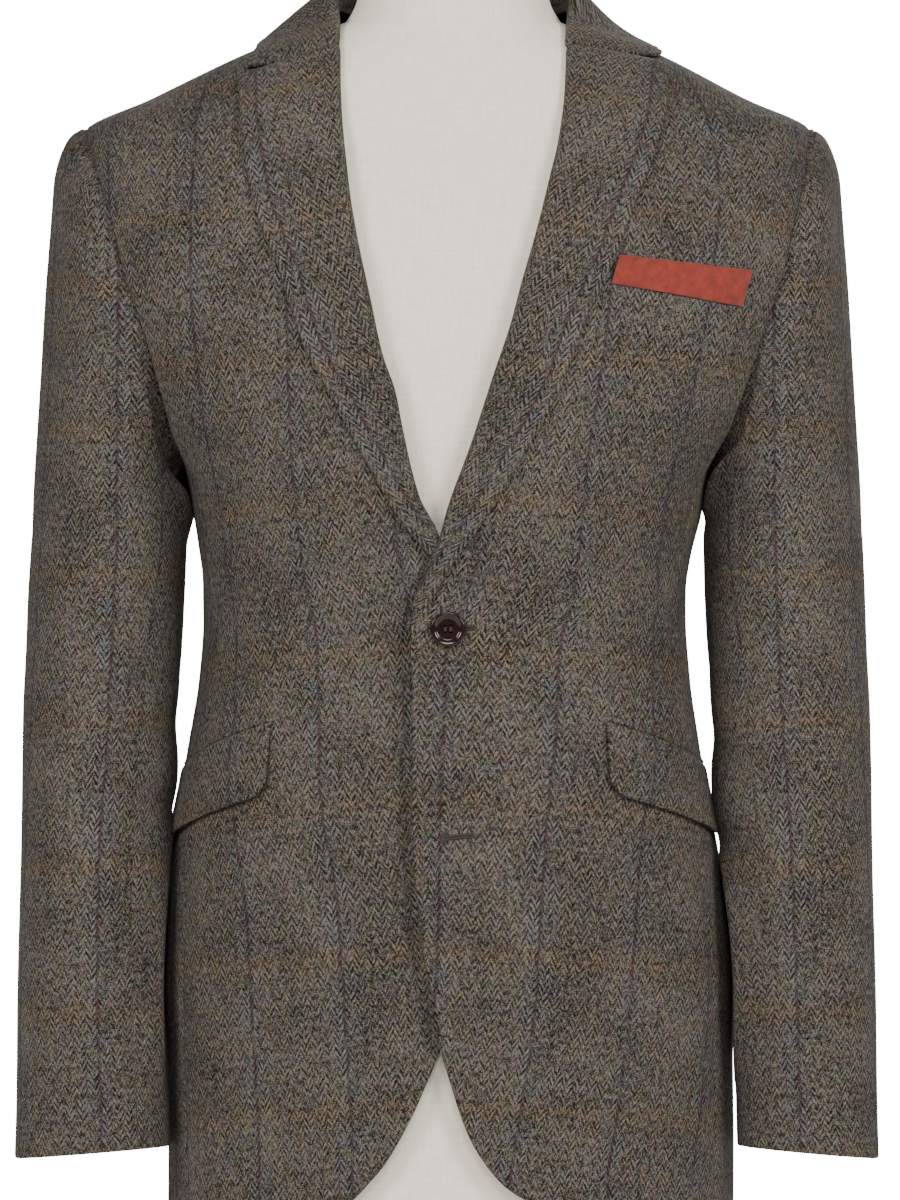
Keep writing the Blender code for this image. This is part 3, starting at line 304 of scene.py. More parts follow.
SLEEVE_CREASES = {
    Side.LEFT: [SleeveCrease(*row) for row in (
        (130, 292, 62, 13, 3.2, 0.22), (150, 246, 50, 11, 2.6, -0.16),
        (64, 596, 34, 20, 2.2, 0.5), (118, 330, 48, 8, 1.2, 0.30), (100, 270, 46, 7, 1.0, 0.25),
        (165, 214, 42, 8, 1.1, -0.2), (262, 330, 60, 12, 1.6, -0.3),
        (78, 505, 26, 26, 1.3, 1.1),
    )],
    Side.RIGHT: [SleeveCrease(*row) for row in (
        (125, 306, 60, 14, 3.0, 0.20), (148, 262, 55, 12, 2.8, -0.10),
        (66, 578, 36, 21, 2.0, 0.4), (112, 338, 46, 8, 1.2, 0.26), (96, 284, 44, 7, 0.9, 0.24),
        (166, 224, 44, 8, 1.2, -0.16), (258, 322, 62, 12, 1.5, -0.26),
        (76, 500, 26, 26, 1.2, 1.0),
    )],
}


# ------------------------------------------------------------------------------------------
# Curves and surfaces


def smooth_step(value: Array | float, low: float, high: float) -> Array:
    """A smooth rise from 0 at low to 1 at high.

    Args:
        value: where to read the rise.
        low: where it starts.
        high: where it ends.

    Returns:
        The rise, from 0 to 1, in the shape of value.
    """
    u = np.clip((np.asarray(value, float) - low) / (high - low), 0.0, 1.0)
    return u * u * (3 - 2 * u)


def band(value: Array | float, low: float, full: float, fade: float, end: float) -> Array:
    """A smooth stretch: it rises from low to full, is 1 up to fade, and is gone at end."""
    return smooth_step(value, low, full) * (1 - smooth_step(value, fade, end))


def half_turn(angle: Array) -> Array:
    """Angles in degrees, brought to between -180 and 180."""
    return (angle + 180) % 360 - 180


def bell(value: Array, width: Array | float) -> Array:
    """A smooth hump: 1 at 0 and fading on both sides over a width."""
    return np.exp(-((value / width) ** 2))


def turned_edge(distance: Array) -> Array:
    """How far turned-in cloth falls off at its free edge, in millimetres."""
    return 0.55 * bell(distance, 1.3)


def unit(vectors: Array) -> Array:
    """The vectors, each brought to length 1."""
    return vectors / np.maximum(np.linalg.norm(vectors, axis=-1, keepdims=True), 1e-9)


def path_length(points: Array, axis: int = 0) -> Array:
    """Distance along a grid of points from its first row (axis 0) or column (axis 1).

    Args:
        points: a grid or a line of points.
        axis: the direction that is followed.

    Returns:
        The distances, in the grid's shape.
    """
    steps = np.linalg.norm(np.diff(points, axis=axis), axis=-1)
    start = np.zeros_like(np.take(steps, [0], axis=axis))
    return np.cumsum(np.concatenate([start, steps], axis=axis), axis=axis)


def grid_normals(grid: Array, hint: Array) -> Array:
    """Unit normals of a grid of points, on the side that a hint vector points to.

    Args:
        grid: points in rows and columns.
        hint: a rough outward vector for each point.

    Returns:
        One unit vector for each point.
    """
    normals = unit(np.cross(np.gradient(grid, axis=1), np.gradient(grid, axis=0)))
    return normals if (normals * hint).sum(-1).mean() > 0 else -normals


def spread(length: float, count: int, margin: Sequence[float] = SEAM_STEPS) -> Array:
    """Places along a row, close together at both ends and even between them.

    Args:
        length: the row's length.
        count: how many places there are in all.
        margin: the places counted from each end.

    Returns:
        The places, rising from 0 to length.
    """
    edge = np.asarray(margin, float) * min(1.0, length / (4 * margin[-1]))
    inside = np.linspace(edge[-1], length - edge[-1], count - 2 * len(edge) + 2)
    return np.concatenate([edge[:-1], inside, length - edge[::-1][1:]])


def hermite(ends: Sequence[Array], slopes: Sequence[Array], span: Array, u: Array) -> Array:
    """A smooth curve between two ends with given slopes.

    Args:
        ends: the values at both ends.
        slopes: the slopes there.
        span: the distance between the ends.
        u: where to read the curve, as a share of the span.

    Returns:
        The curve's values.
    """
    return (
        ends[0] * (1 + 2 * u) * (1 - u) ** 2
        + slopes[0] * span * u * (1 - u) ** 2
        + ends[1] * u**2 * (3 - 2 * u)
        + slopes[1] * span * u**2 * (u - 1)
    )


class Profile:
    """A smooth curve through a table of places and values, with no overshoot between them."""

    def __init__(self, places: Sequence[float], values: Sequence[float]) -> None:
        """Works out the slope at each place.

        Args:
            places: rising places.
            values: the value at each place.
        """
        self.x = np.asarray(places, float)
        self.y = np.asarray(values, float)
        step = np.diff(self.x)
        rise = np.diff(self.y) / step
        self.slope = np.zeros_like(self.y)
        self.slope[0], self.slope[-1] = rise[0], rise[-1]
        same_way = rise[1:] * rise[:-1] > 0
        before, after = rise[:-1][same_way], rise[1:][same_way]
        weight_a = (2 * step[1:] + step[:-1])[same_way]
        weight_b = (step[1:] + 2 * step[:-1])[same_way]
        self.slope[1:-1][same_way] = (weight_a + weight_b) / (
            weight_a / before + weight_b / after
        )

    def __call__(self, place: Array | float) -> Array:
        """Reads the curve.

        Args:
            place: where to read it; it is held inside the table.

        Returns:
            The value there.
        """
        place = np.clip(np.asarray(place, float), self.x[0], self.x[-1])
        i = np.clip(np.searchsorted(self.x, place) - 1, 0, len(self.x) - 2)
        span = self.x[i + 1] - self.x[i]
        u = (place - self.x[i]) / span
        return hermite((self.y[i], self.y[i + 1]), (self.slope[i], self.slope[i + 1]), span, u)


def column(table: Sequence[object], value: str) -> Profile:
    """The Profile of one named column of a table against its height."""
    rows = sorted(table, key=lambda row: row.height)
    return Profile([row.height for row in rows], [getattr(row, value) for row in rows])


class HeightTable:
    """A quantity known on a grid of heights and places across, read between its points."""

    def __init__(self, heights: Array, across: Array, values: Array) -> None:
        """Keeps the grid.

        Args:
            heights: evenly spaced heights.
            across: evenly spaced places across or round.
            values: one value for each height and place.
        """
        self.heights, self.across, self.values = heights, across, values

    def __call__(self, across: Array, height: Array) -> Array:
        """Reads the table.

        Args:
            across: places across or round.
            height: heights.

        Returns:
            The values there.
        """
        across, height = np.broadcast_arrays(across, height)
        a = (across - self.across[0]) / (self.across[1] - self.across[0])
        h = (height - self.heights[0]) / (self.heights[1] - self.heights[0])
        a = np.clip(a, 0, len(self.across) - 1.001)
        h = np.clip(h, 0, len(self.heights) - 1.001)
        i, j = h.astype(int), a.astype(int)
        fh, fa = h - i, a - j
        v = self.values
        low = v[i, j] * (1 - fa) + v[i, j + 1] * fa
        high = v[i + 1, j] * (1 - fa) + v[i + 1, j + 1] * fa
        return low * (1 - fh) + high * fh


class BodyShape:
    """The surface that the jacket's body takes, with its folds and its lie of the cloth."""

    per_degree: float = 2.7  # millimetres of cloth to a degree round the body, about

    def __init__(self, sections: Sequence[Section], folds: Sequence[Fold]) -> None:
        """Reads the tables and measures the cloth's length round and up the surface.

        Args:
            sections: the levels of the shape.
            folds: its soft folds.
        """
        self.half_width = column(sections, "half_width")
        self.front = column(sections, "front")
        self.back = column(sections, "back")
        self.round_front = column(sections, "round_front")
        self.round_back = column(sections, "round_back")
        self.centre = column(sections, "centre")
        self.folds = folds
        heights = np.arange(-24.0, 781.0, 6.0)
        angles = np.arange(-360.0, 361.0, 1.0)
        ring = self.point(angles[None, :], heights[:, None])
        reach = path_length(ring, axis=1)
        self.arc = HeightTable(heights, angles, reach - reach[:, 360:361])
        shares = np.linspace(-0.94, 0.94, 95)
        self.rise = {}
        for back in (False, True):
            x = self.centre(heights)[:, None] + self.half_width(heights)[:, None] * shares
            steady = np.clip(x, -95, 95)
            y = self.point(self.theta_at(steady, heights[:, None], back), heights[:, None])[..., 1]
            climb = np.sqrt(6.0**2 + np.diff(y, axis=0) ** 2)
            total = np.concatenate([np.zeros((1, len(shares))), np.cumsum(climb, axis=0)])
            self.rise[back] = HeightTable(heights, shares, total + heights[0])

    def point(self, theta: Array | float, height: Array | float) -> Array:
        """Points of the smooth surface.

        Args:
            theta: angles in degrees.
            height: heights above the hem.

        Returns:
            One point for each angle and height.
        """
        theta, height = np.broadcast_arrays(np.asarray(theta, float), np.asarray(height, float))
        sine, cosine = np.sin(np.radians(theta)), np.cos(np.radians(theta))
        power = 2 / np.where(cosine > 0, self.round_front(height), self.round_back(height))
        depth = np.where(cosine > 0, self.front(height), self.back(height))
        x = self.centre(height) + self.half_width(height) * np.sign(sine) * np.abs(sine) ** power
        y = -depth * np.sign(cosine) * np.abs(cosine) ** power
        return np.stack([x, y, height], axis=-1)

    def normal(self, theta: Array | float, height: Array | float) -> Array:
        """Outward unit vectors of the smooth surface.

        Args:
            theta: angles in degrees.
            height: heights above the hem.

        Returns:
            One vector for each angle and height.
        """
        theta, height = np.broadcast_arrays(np.asarray(theta, float), np.asarray(height, float))
        around = self.point(theta + 1.2, height) - self.point(theta - 1.2, height)
        up = self.point(theta, height + 0.8) - self.point(theta, height - 0.8)
        return unit(np.cross(around, up))

    def theta_at(self, x: Array | float, height: Array | float, back: bool = False) -> Array:
        """The angle of the point that lies x across the body.

        Args:
            x: places across.
            height: heights above the hem.
            back: True for the back of the body, False for its front.

        Returns:
            Angles in degrees.
        """
        ratio = (np.asarray(x, float) - self.centre(height)) / self.half_width(height)
        roundness = self.round_back(height) if back else self.round_front(height)
        sine = np.sign(ratio) * np.minimum(np.abs(ratio), 1.0) ** (roundness / 2)
        angle = np.degrees(np.arcsin(sine))
        return 180 - angle if back else angle

    def relief(self, theta: Array, height: Array) -> Array:
        """How far the cloth stands out of the smooth surface, less than 0 in a fold.

        Args:
            theta: angles in degrees.
            height: heights above the hem.

        Returns:
            Millimetres, fading to nothing at the shoulders, where the cloth lies on the form.
        """
        theta, height = np.broadcast_arrays(np.asarray(theta, float), np.asarray(height, float))
        turn = half_turn(theta)
        total = np.zeros_like(turn)
        for fold in self.folds:
            off = half_turn(turn - fold.across) * self.per_degree
            up = height - fold.height
            lean = math.radians(fold.lean)
            along = off * math.sin(lean) + up * math.cos(lean)
            aside = off * math.cos(lean) - up * math.sin(lean)
            shift = 0.12 * fold.width * np.sin(along / fold.length * 2.1 + fold.across)
            body = np.exp(-((along / fold.length) ** 2) - ((aside + shift) / fold.width) ** 2)
            total -= fold.depth * body
        slow = np.sin(turn / 17.0 + height / 61.0) * np.sin(height / 47.0 - turn / 29.0)
        ripple = np.sin(turn / 7.3 - height / 83.0 + 1.3) * np.sin(height / 29.0 + turn / 19.0)
        total += 0.55 * slow + 0.28 * ripple
        return total * (1 - 0.8 * smooth_step(height, 640, 715))

    def laid(self, theta: Array, height: Array, lift: Array | float = 0.0) -> Array:
        """Points of the cloth's outer side, lifted by a distance off the folded surface."""
        rise = self.relief(theta, height) + np.asarray(lift, float)
        return self.point(theta, height) + self.normal(theta, height) * rise[..., None]


class Armhole:
    """The loop where a sleeve is set in, by its angle: 0 at the shoulder tip, 90 in front."""

    top: float = 696.0
    bottom: float = 472.0
    swing_front: float = 30.0
    swing_back: float = 28.0

    def at(self, angle: Array | float) -> tuple[Array, Array]:
        """A place on the loop.

        Args:
            angle: the loop's own angle.

        Returns:
            The body angle for the wearer's left, and the height.
        """
        turn = np.radians(np.asarray(angle, float))
        swing = np.where(np.sin(turn) > 0, self.swing_front, self.swing_back)
        reach = (self.top - self.bottom) / 2
        return 90 - swing * np.sin(turn), (self.top + self.bottom) / 2 + reach * np.cos(turn)


BODY = BodyShape(BODY_SECTIONS, BODY_FOLDS)
ARMHOLE = Armhole()
FRONT_EDGE = {s: Profile(*zip(*rows)) for s, rows in FRONT_EDGES.items()}
LAPEL_EDGE = {s: Profile(*zip(*rows)) for s, rows in LAPEL_EDGES.items()}
HEAD_EDGE = Profile(*zip(*HEAD_EDGE_LINE))
STRIPE_PATH = {s: Profile(*zip(*rows)) for s, rows in STRIPE_PATHS.items()}
STRIPE_STEP = Profile(*zip(*STRIPE_STEPS))


# ------------------------------------------------------------------------------------------
# Finishes

Socket = bpy.types.NodeSocket


def linear(code: str) -> tuple[float, float, float, float]:
    """An sRGB hex colour as linear values with full alpha.

    Args:
        code: six hex digits, such as "5A534C".

    Returns:
        Red, green, blue and alpha.
    """
    values = []
    for i in (0, 2, 4):
        c = int(code[i : i + 2], 16) / 255
        values.append(c / 12.92 if c <= 0.04045 else ((c + 0.055) / 1.055) ** 2.4)
    return (values[0], values[1], values[2], 1.0)


def connect(tree: bpy.types.NodeTree, node: bpy.types.Node, values: dict[object, object]) -> None:
    """Gives inputs of a node, by name or number, a socket to follow or a plain value.

    Args:
        tree: the node tree.
        node: the node.
        values: what each input gets.
    """
    for key, value in values.items():
        if isinstance(value, Socket):
            tree.links.new(value, node.inputs[key])
        else:
            node.inputs[key].default_value = value


def add_node(
    tree: bpy.types.NodeTree,
    kind: str,
    settings: Optional[dict[str, object]] = None,
    links: Optional[dict[object, object]] = None,
) -> bpy.types.Node:
    """Adds one node with its settings, values and incoming links.

    Args:
        tree: the node tree.
        kind: the node's type name, without the leading "ShaderNode".
        settings: properties of the node by name.
        links: for an input's name or number, another node's output socket or a plain value.

    Returns:
        The new node.
    """
    node = tree.nodes.new("ShaderNode" + kind)
    for name, value in (settings or {}).items():
        setattr(node, name, value)
    connect(tree, node, links or {})
    return node


class Surface:
    """A material in the making, with a short call for each kind of node that is used."""

    def __init__(self, name: str, cloth: bool = False) -> None:
        """Makes the material, its tree and the place that its pattern is read at.

        Args:
            name: the material's name.
            cloth: True for the piece's own map of its cloth, False for places on the object.
        """
        self.material = bpy.data.materials.new(name)
        self.material.use_nodes = True
        self.tree = self.material.node_tree
        if cloth:
            self.place = self.node("UVMap", {"uv_map": "cloth"}).outputs[0]
        else:
            self.place = self.node("TexCoord").outputs["Object"]

    def node(self, kind: str, settings: Optional[dict[str, object]] = None,
             links: Optional[dict[object, object]] = None) -> bpy.types.Node:
        """Adds a node of any kind."""
        return add_node(self.tree, kind, settings, links)

    def math(self, operation: str, *values: object, clamp: bool = False) -> Socket:
        """The outcome of arithmetic on numbers and sockets."""
        settings = {"operation": operation, "use_clamp": clamp}
        return self.node("Math", settings, dict(enumerate(values))).outputs[0]

    def vector(self, operation: str, *values: object) -> Socket:
        """The outcome of arithmetic on vectors."""
        return self.node("VectorMath", {"operation": operation}, dict(enumerate(values))).outputs[0]

    def stretched(self, scale: tuple[float, float, float]) -> Socket:
        """The pattern's place, stretched by another factor each way."""
        return self.node("Mapping", links={"Vector": self.place, "Scale": scale}).outputs[0]

    def noise(
        self, place: Socket, scale: float, detail: float = 2.0, roughness: float = 0.5,
        distortion: float = 0.0, flat: bool = False, output: str = "Fac",
    ) -> Socket:
        """Cloudy noise.

        Args:
            place: where it is read.
            scale: clouds to a unit of place.
            detail: how many finer layers there are.
            roughness: how strong they are.
            distortion: how much the clouds are drawn out of shape.
            flat: True for noise in two dimensions.
            output: "Fac" for a number or "Color" for three.

        Returns:
            The socket of that output.
        """
        return self.node(
            "TexNoise", {"noise_dimensions": "2D" if flat else "3D"},
            {"Vector": place, "Scale": scale, "Detail": detail, "Roughness": roughness,
             "Distortion": distortion},
        ).outputs[output]

    def ramp(
        self, value: Socket, low: float, high: float, first: float, last: float,
        smooth: bool = False,
    ) -> Socket:
        """A number that goes from one value to another while its input goes from low to high.

        Args:
            value: the input.
            low: the input's lower end.
            high: its upper end.
            first: the result at the lower end.
            last: the result at the upper one.
            smooth: True for a rise without corners.

        Returns:
            The result's socket.
        """
        settings = {"interpolation_type": "SMOOTHSTEP" if smooth else "LINEAR"}
        return self.node(
            "MapRange", settings, {0: value, 1: low, 2: high, 3: first, 4: last}
        ).outputs[0]

    def mix(self, share: Socket, one: object, other: object, blend: str = "MIX") -> Socket:
        """A colour that goes from one to the other by a share."""
        settings = {"data_type": "RGBA", "blend_type": blend}
        return self.node("Mix", settings, {0: share, 6: one, 7: other}).outputs[2]

    def between(
        self, value: Socket, low: float, high: float, most: float, one: str, other: str
    ) -> Socket:
        """A colour that follows a noise from one hex colour towards another.

        Args:
            value: the noise.
            low: the noise below which the first colour is pure.
            high: the noise above which the second one is strongest.
            most: the second colour's greatest share.
            one: the first colour.
            other: the second colour.

        Returns:
            The colour's socket.
        """
        share = self.ramp(value, low, high, 0.0, most)
        return self.mix(share, linear(one), linear(other))

    def bump(self, height: Socket, strength: float, distance: float) -> Socket:
        """The normal of a fine relief."""
        links = {"Strength": strength, "Distance": distance, "Height": height}
        return self.node("Bump", links=links).outputs[0]

    def finish(self, values: dict[object, object]) -> bpy.types.Material:
        """Sets the surface shader's inputs and hands over the material."""
        connect(self.tree, self.tree.nodes["Principled BSDF"], values)
        return self.material


@dataclass(frozen=True)
class Tweed:
    """Woollen herringbone tweed, woven from mixture yarns and brushed up a little.

    The eye gets zigzag ribs of dark and oat-coloured wool, flecks of rust, blue and olive, a
    thin windowpane of maroon and ochre threads, and a dry, faintly furry surface. Widths and
    repeats are in millimetres of cloth."""

    name: str = "herringbone_tweed_woven"
    dark: str = "0B0907"
    light: str = "6E665D"
    maroon: str = "2E1216"
    ochre: str = "76573A"
    maroon_strength: float = 0.95
    ochre_strength: float = 0.24
    blue_band: tuple[float, float, float] = (0.92, 1.0, 1.13)
    brown_band: tuple[float, float, float] = (1.10, 0.99, 0.86)
    band_width: float = 8.0
    flecks: tuple[tuple[float, str], ...] = (
        (0.0, "55402F"), (0.05, "655A40"), (0.10, "4A525A"), (0.16, "857F73"), (0.24, "000000"),
    )
    fleck_size: float = 1.9
    rib: float = 3.9
    pitch: float = 5.2
    steepness: float = 1.65
    strand: float = 0.62
    float_length: float = 2.4
    yarn: float = 0.8
    stripe_repeat: float = 64.0
    bar_repeat: float = 96.0
    line_width: float = 1.1

    @staticmethod
    def _lines(made: Surface, place: Socket, repeat: float, width: float) -> Socket:
        """A soft mask that is 1 on every line of a set of evenly spaced ones.

        Args:
            made: the material in the making.
            place: the place across the lines, in texture units.
            repeat: millimetres from one line to the next.
            width: half the line's width in millimetres.

        Returns:
            The mask's socket.
        """
        near = made.math("PINGPONG", place, repeat / 2 / UV_UNIT)
        low, high = 0.4 * width / UV_UNIT, 1.5 * width / UV_UNIT
        return made.ramp(near, low, high, 1.0, 0.0, smooth=True)

    def material(self) -> bpy.types.Material:
        """Builds the material, which reads each piece's own map of its cloth."""
        made = Surface(self.name, cloth=True)
        grain = made.place

        def noise(size: float, detail: float = 2.0, output: str = "Fac", **more: float) -> Socket:
            """Flat noise on the cloth, with clouds of a size in millimetres."""
            return made.noise(grain, UV_UNIT / size, detail, flat=True, output=output, **more)

        # Yarns wander a little, so the map is nudged by slow noise, about half a millimetre.
        centred = made.vector("SUBTRACT", noise(22.0, output="Color"), (0.5, 0.5, 0.5))
        nudged = made.vector("MULTIPLY_ADD", centred, (0.022, 0.022, 0.0), grain)
        u, v, _ = made.node("SeparateXYZ", links={0: nudged}).outputs

        # Zigzag: the twill climbs across one rib and falls across the next, broken between them.
        climb = made.math("PINGPONG", u, self.rib / UV_UNIT)
        rib = made.math("FLOOR", made.math("DIVIDE", u, self.rib / UV_UNIT))
        slant = made.math("MULTIPLY_ADD", climb, self.steepness, v)
        along = made.math("MULTIPLY_ADD", v, -self.steepness, climb)
        turns = made.math(
            "MULTIPLY_ADD", slant, UV_UNIT / self.pitch, made.math("MULTIPLY", rib, 0.5)
        )
        wave = made.math("SINE", made.math("MULTIPLY", turns, 2 * math.pi))

        # Each strand of the twill is a row of short floats, lighter and darker along its length.
        stretch = math.hypot(1.0, self.steepness)
        twill = made.node("CombineXYZ", links={0: slant, 1: along, 2: rib}).outputs[0]
        strands = (UV_UNIT / (stretch * self.strand), UV_UNIT / (stretch * self.float_length), 7.3)
        dash = made.noise(made.vector("MULTIPLY", twill, strands), 1.0, detail=1.0)

        # Uneven woollen yarn: a fine grain, a coarser one, and slow changes of the mixture.
        fine, coarse = noise(self.yarn, roughness=0.7), noise(3.6)
        worn, slow = noise(12.0, detail=1.0), noise(45.0)
        zigzag = made.math("MULTIPLY", wave, made.ramp(worn, 0.3, 0.7, 0.11, 0.39))
        tone = zigzag
        for layer, gain in ((dash, 1.75), (fine, 2.65), (coarse, 1.1), (slow, 0.45)):
            tone = made.math("MULTIPLY_ADD", layer, gain, tone)
        # All the noises average one half, so the sum is brought back to the cloth's own depth.
        depth = made.math("ADD", tone, -2.62, clamp=True)
        ground = made.mix(depth, linear(self.dark), linear(self.light))

        # Clouds of warmer and cooler wool, where differently dyed fibres lie together.
        cast = made.vector("MULTIPLY_ADD", noise(9.0, detail=3.0, output="Color"),
                           (0.5, 0.3, 0.7), (0.75, 0.85, 0.65))
        clouded = made.vector("MULTIPLY", ground, cast)

        # Flecks of dyed wool, each about two yarns wide.
        cells = made.node("TexVoronoi", {"voronoi_dimensions": "2D"},
                          {"Vector": grain, "Scale": UV_UNIT / self.fleck_size, "Randomness": 1.0})
        pick = made.node("SeparateColor", links={0: cells.outputs["Color"]}).outputs[0]
        dye = made.node("ValToRGB", links={0: pick})
        dye.color_ramp.interpolation = "CONSTANT"
        stops = dye.color_ramp.elements
        for i, (position, code) in enumerate(self.flecks):
            stop = stops[i] if i < 2 else stops.new(position)
            stop.position, stop.color = position, linear(code)
        dyed = made.math("LESS_THAN", pick, self.flecks[-1][0])
        core = made.ramp(cells.outputs["Distance"], 0.2, 0.55, 0.2, 0.0)
        colour = made.mix(made.math("MULTIPLY", dyed, core), clouded, dye.outputs[0])

        # Beside each maroon thread the warp is bluer, and beside each ochre one browner.
        patches = made.ramp(worn, 0.38, 0.6, 0.3, 1.0)
        for axis, repeat, tint in (
            (u, self.stripe_repeat, self.blue_band), (v, self.bar_repeat, self.brown_band),
        ):
            mask = self._lines(made, axis, repeat, self.band_width)
            share = made.math("MULTIPLY", mask, patches)
            colour = made.mix(share, colour, (*tint, 1.0), "MULTIPLY")

        # Windowpane threads show where they float over the twill, so the zigzag breaks them.
        floats = made.ramp(dash, 0.35, 0.6, 0.15, 1.0)
        for axis, repeat, code, strength in (
            (u, self.stripe_repeat, self.maroon, self.maroon_strength),
            (v, self.bar_repeat, self.ochre, self.ochre_strength),
        ):
            mask = self._lines(made, axis, repeat, self.line_width)
            shown = made.math("MULTIPLY", made.math("MULTIPLY", mask, patches), floats)
            colour = made.mix(made.math("MULTIPLY", shown, strength), colour, linear(code))

        relief = made.math("MULTIPLY_ADD", fine, 2.0, zigzag)
        return made.finish({
            "Base Color": colour, "Normal": made.bump(relief, 0.35, 0.0005), "Roughness": 0.95,
            "Specular IOR Level": 0.2, "Sheen Weight": 0.06, "Sheen Roughness": 0.55,
            "Sheen Tint": linear("B8B0A4"),
        })


@dataclass(frozen=True)
class BrickWool:
    """Fulled wool flannel, piece dyed brick red: matt, with a short nap and faint mottling."""

    name: str = "brick_red_wool_fulled"
    base: str = "8C3123"
    deep: str = "5C2018"

    def material(self) -> bpy.types.Material:
        """Builds the material."""
        made = Surface(self.name, cloth=True)
        mottle = made.noise(made.place, 14.0, detail=6.0, roughness=0.7)
        nap = made.noise(made.place, UV_UNIT / 0.8)
        return made.finish({
            "Base Color": made.between(mottle, 0.32, 0.68, 0.85, self.base, self.deep),
            "Normal": made.bump(nap, 0.3, 0.0003), "Roughness": 0.8, "Specular IOR Level": 0.3,
            "Sheen Weight": 0.2,
        })


@dataclass(frozen=True)
class Horn:
    """Buffalo horn, turned and polished: almost black with burgundy depths and a clear gloss."""

    name: str = "dark_horn_polished"
    base: str = "170706"
    warm: str = "34130F"

    def material(self) -> bpy.types.Material:
        """Builds the material."""
        made = Surface(self.name)
        streaks = made.noise(made.place, 160.0, detail=4.0, distortion=1.5)
        colour = made.between(streaks, 0.45, 0.75, 0.7, self.base, self.warm)
        return made.finish({"Base Color": colour, "Roughness": 0.13})


@dataclass(frozen=True)
class Linen:
    """Cream linen canvas, plain woven and drawn tight over the form: slubs in both ways."""

    name: str = "cream_linen_woven"
    base: str = "F4EDDA"
    thread: str = "E6DEC9"

    def material(self) -> bpy.types.Material:
        """Builds the material."""
        made = Surface(self.name, cloth=True)
        # The weave is about 0.6 mm; it is drawn at 1.4 mm so that it shows at all.
        slubs = [made.noise(made.stretched(way), 1.0, detail=3.0)
                 for way in ((70.0, 5.0, 1.0), (5.0, 70.0, 1.0))]
        both = made.math("ADD", *slubs)
        return made.finish({
            "Base Color": made.between(both, 0.75, 1.25, 1.0, self.base, self.thread),
            "Normal": made.bump(both, 0.3, 0.0004), "Roughness": 0.9, "Sheen Weight": 0.1,
        })


@dataclass(frozen=True)
class Beech:
    """Steamed beech, turned and lacquered satin: fine short flecks along a straight grain."""

    name: str = "beech_turned_lacquered"
    base: str = "B78F63"
    grain: str = "8F673F"

    def material(self) -> bpy.types.Material:
        """Builds the material."""
        made = Surface(self.name)
        rings = made.noise(made.stretched((9.0, 120.0, 60.0)), 1.0, detail=5.0, distortion=0.6)
        return made.finish({
            "Base Color": made.between(rings, 0.35, 0.7, 0.9, self.base, self.grain),
            "Roughness": 0.42, "Coat Weight": 0.25, "Coat Roughness": 0.3,
        })


@dataclass(frozen=True)
class BrushedSteel:
    """Steel tube, brushed round: fine rings that stretch the highlight along the tube."""

    name: str = "steel_tube_brushed"
    base: str = "B4B4B2"

    def material(self) -> bpy.types.Material:
        """Builds the material."""
        made = Surface(self.name)
        brushing = made.noise(made.stretched((6.0, 6.0, 1800.0)), 1.0)
        rough = made.ramp(brushing, 0.3, 0.7, 0.26, 0.42)
        return made.finish({"Base Color": linear(self.base), "Metallic": 1.0, "Roughness": rough})


@dataclass(frozen=True)
class SilkTwist:
    """Buttonhole twist, three-ply spun silk or polyester: small bright turns along the thread."""

    name: str = "buttonhole_twist_spun"
    base: str = "120907"
    bright: str = "34201B"

    def material(self) -> bpy.types.Material:
        """Builds the material."""
        made = Surface(self.name)
        twist = made.noise(made.place, 2200.0)
        colour = made.mix(twist, linear(self.base), linear(self.bright))
        return made.finish({"Base Color": colour, "Roughness": 0.55})


@dataclass(frozen=True)
class StudioPaper:
    """Seamless paper, matt and pale, that the stand is placed on."""

    name: str = "studio_paper_matt"
    base: str = "EDEDEB"

    def material(self) -> bpy.types.Material:
        """Builds the material."""
        made = Surface(self.name)
        rough = made.ramp(made.noise(made.place, 40.0), 0.3, 0.7, 0.86, 0.94)
        return made.finish({"Base Color": linear(self.base), "Roughness": rough})


# ------------------------------------------------------------------------------------------
# Meshes


def link(name: str, data: bpy.types.ID) -> bpy.types.Object:
    """Puts a mesh, light or camera in the scene as a new object.

    Args:
        name: the object's name.
        data: the mesh, light or camera.

    Returns:
        The object.
    """
    made = bpy.data.objects.new(name, data)
    bpy.context.scene.collection.objects.link(made)
    return made


def new_object(
    name: str, points: Array, faces: Sequence[Sequence[int]], material: bpy.types.Material,
    uv: Optional[Array] = None,
) -> bpy.types.Object:
    """Makes a smooth mesh object whose faces point out.

    Args:
        name: the piece's name.
        points: its points, in millimetres, with heights above the hem.
        faces: point numbers of each face.
        material: its finish.
        uv: a texture place for each point, in millimetres of cloth.

    Returns:
        The new object, linked to the scene.
    """
    mesh = bpy.data.meshes.new(name)
    raised = (np.asarray(points, float) + (0.0, 0.0, HEM_HEIGHT)) * MM
    mesh.from_pydata(raised.tolist(), [], faces)
    if uv is not None:
        layer = mesh.uv_layers.new(name="cloth")
        corners = np.empty(len(mesh.loops), np.int32)
        mesh.loops.foreach_get("vertex_index", corners)
        layer.data.foreach_set("uv", (uv[corners] / UV_UNIT).ravel())
    sheet = bmesh.new()
    sheet.from_mesh(mesh)
    if sheet.calc_volume(signed=True) < 0:
        bmesh.ops.reverse_faces(sheet, faces=sheet.faces)
    sheet.to_mesh(mesh)
    sheet.free()
    mesh.materials.append(material)
    mesh.shade_smooth()
    return link(name, mesh)


def quads(index: Array) -> Array:
    """The four point numbers of each face of a grid of point numbers."""
    corners = index[:-1, :-1], index[:-1, 1:], index[1:, 1:], index[1:, :-1]
    return np.stack([corner.ravel() for corner in corners], axis=1)


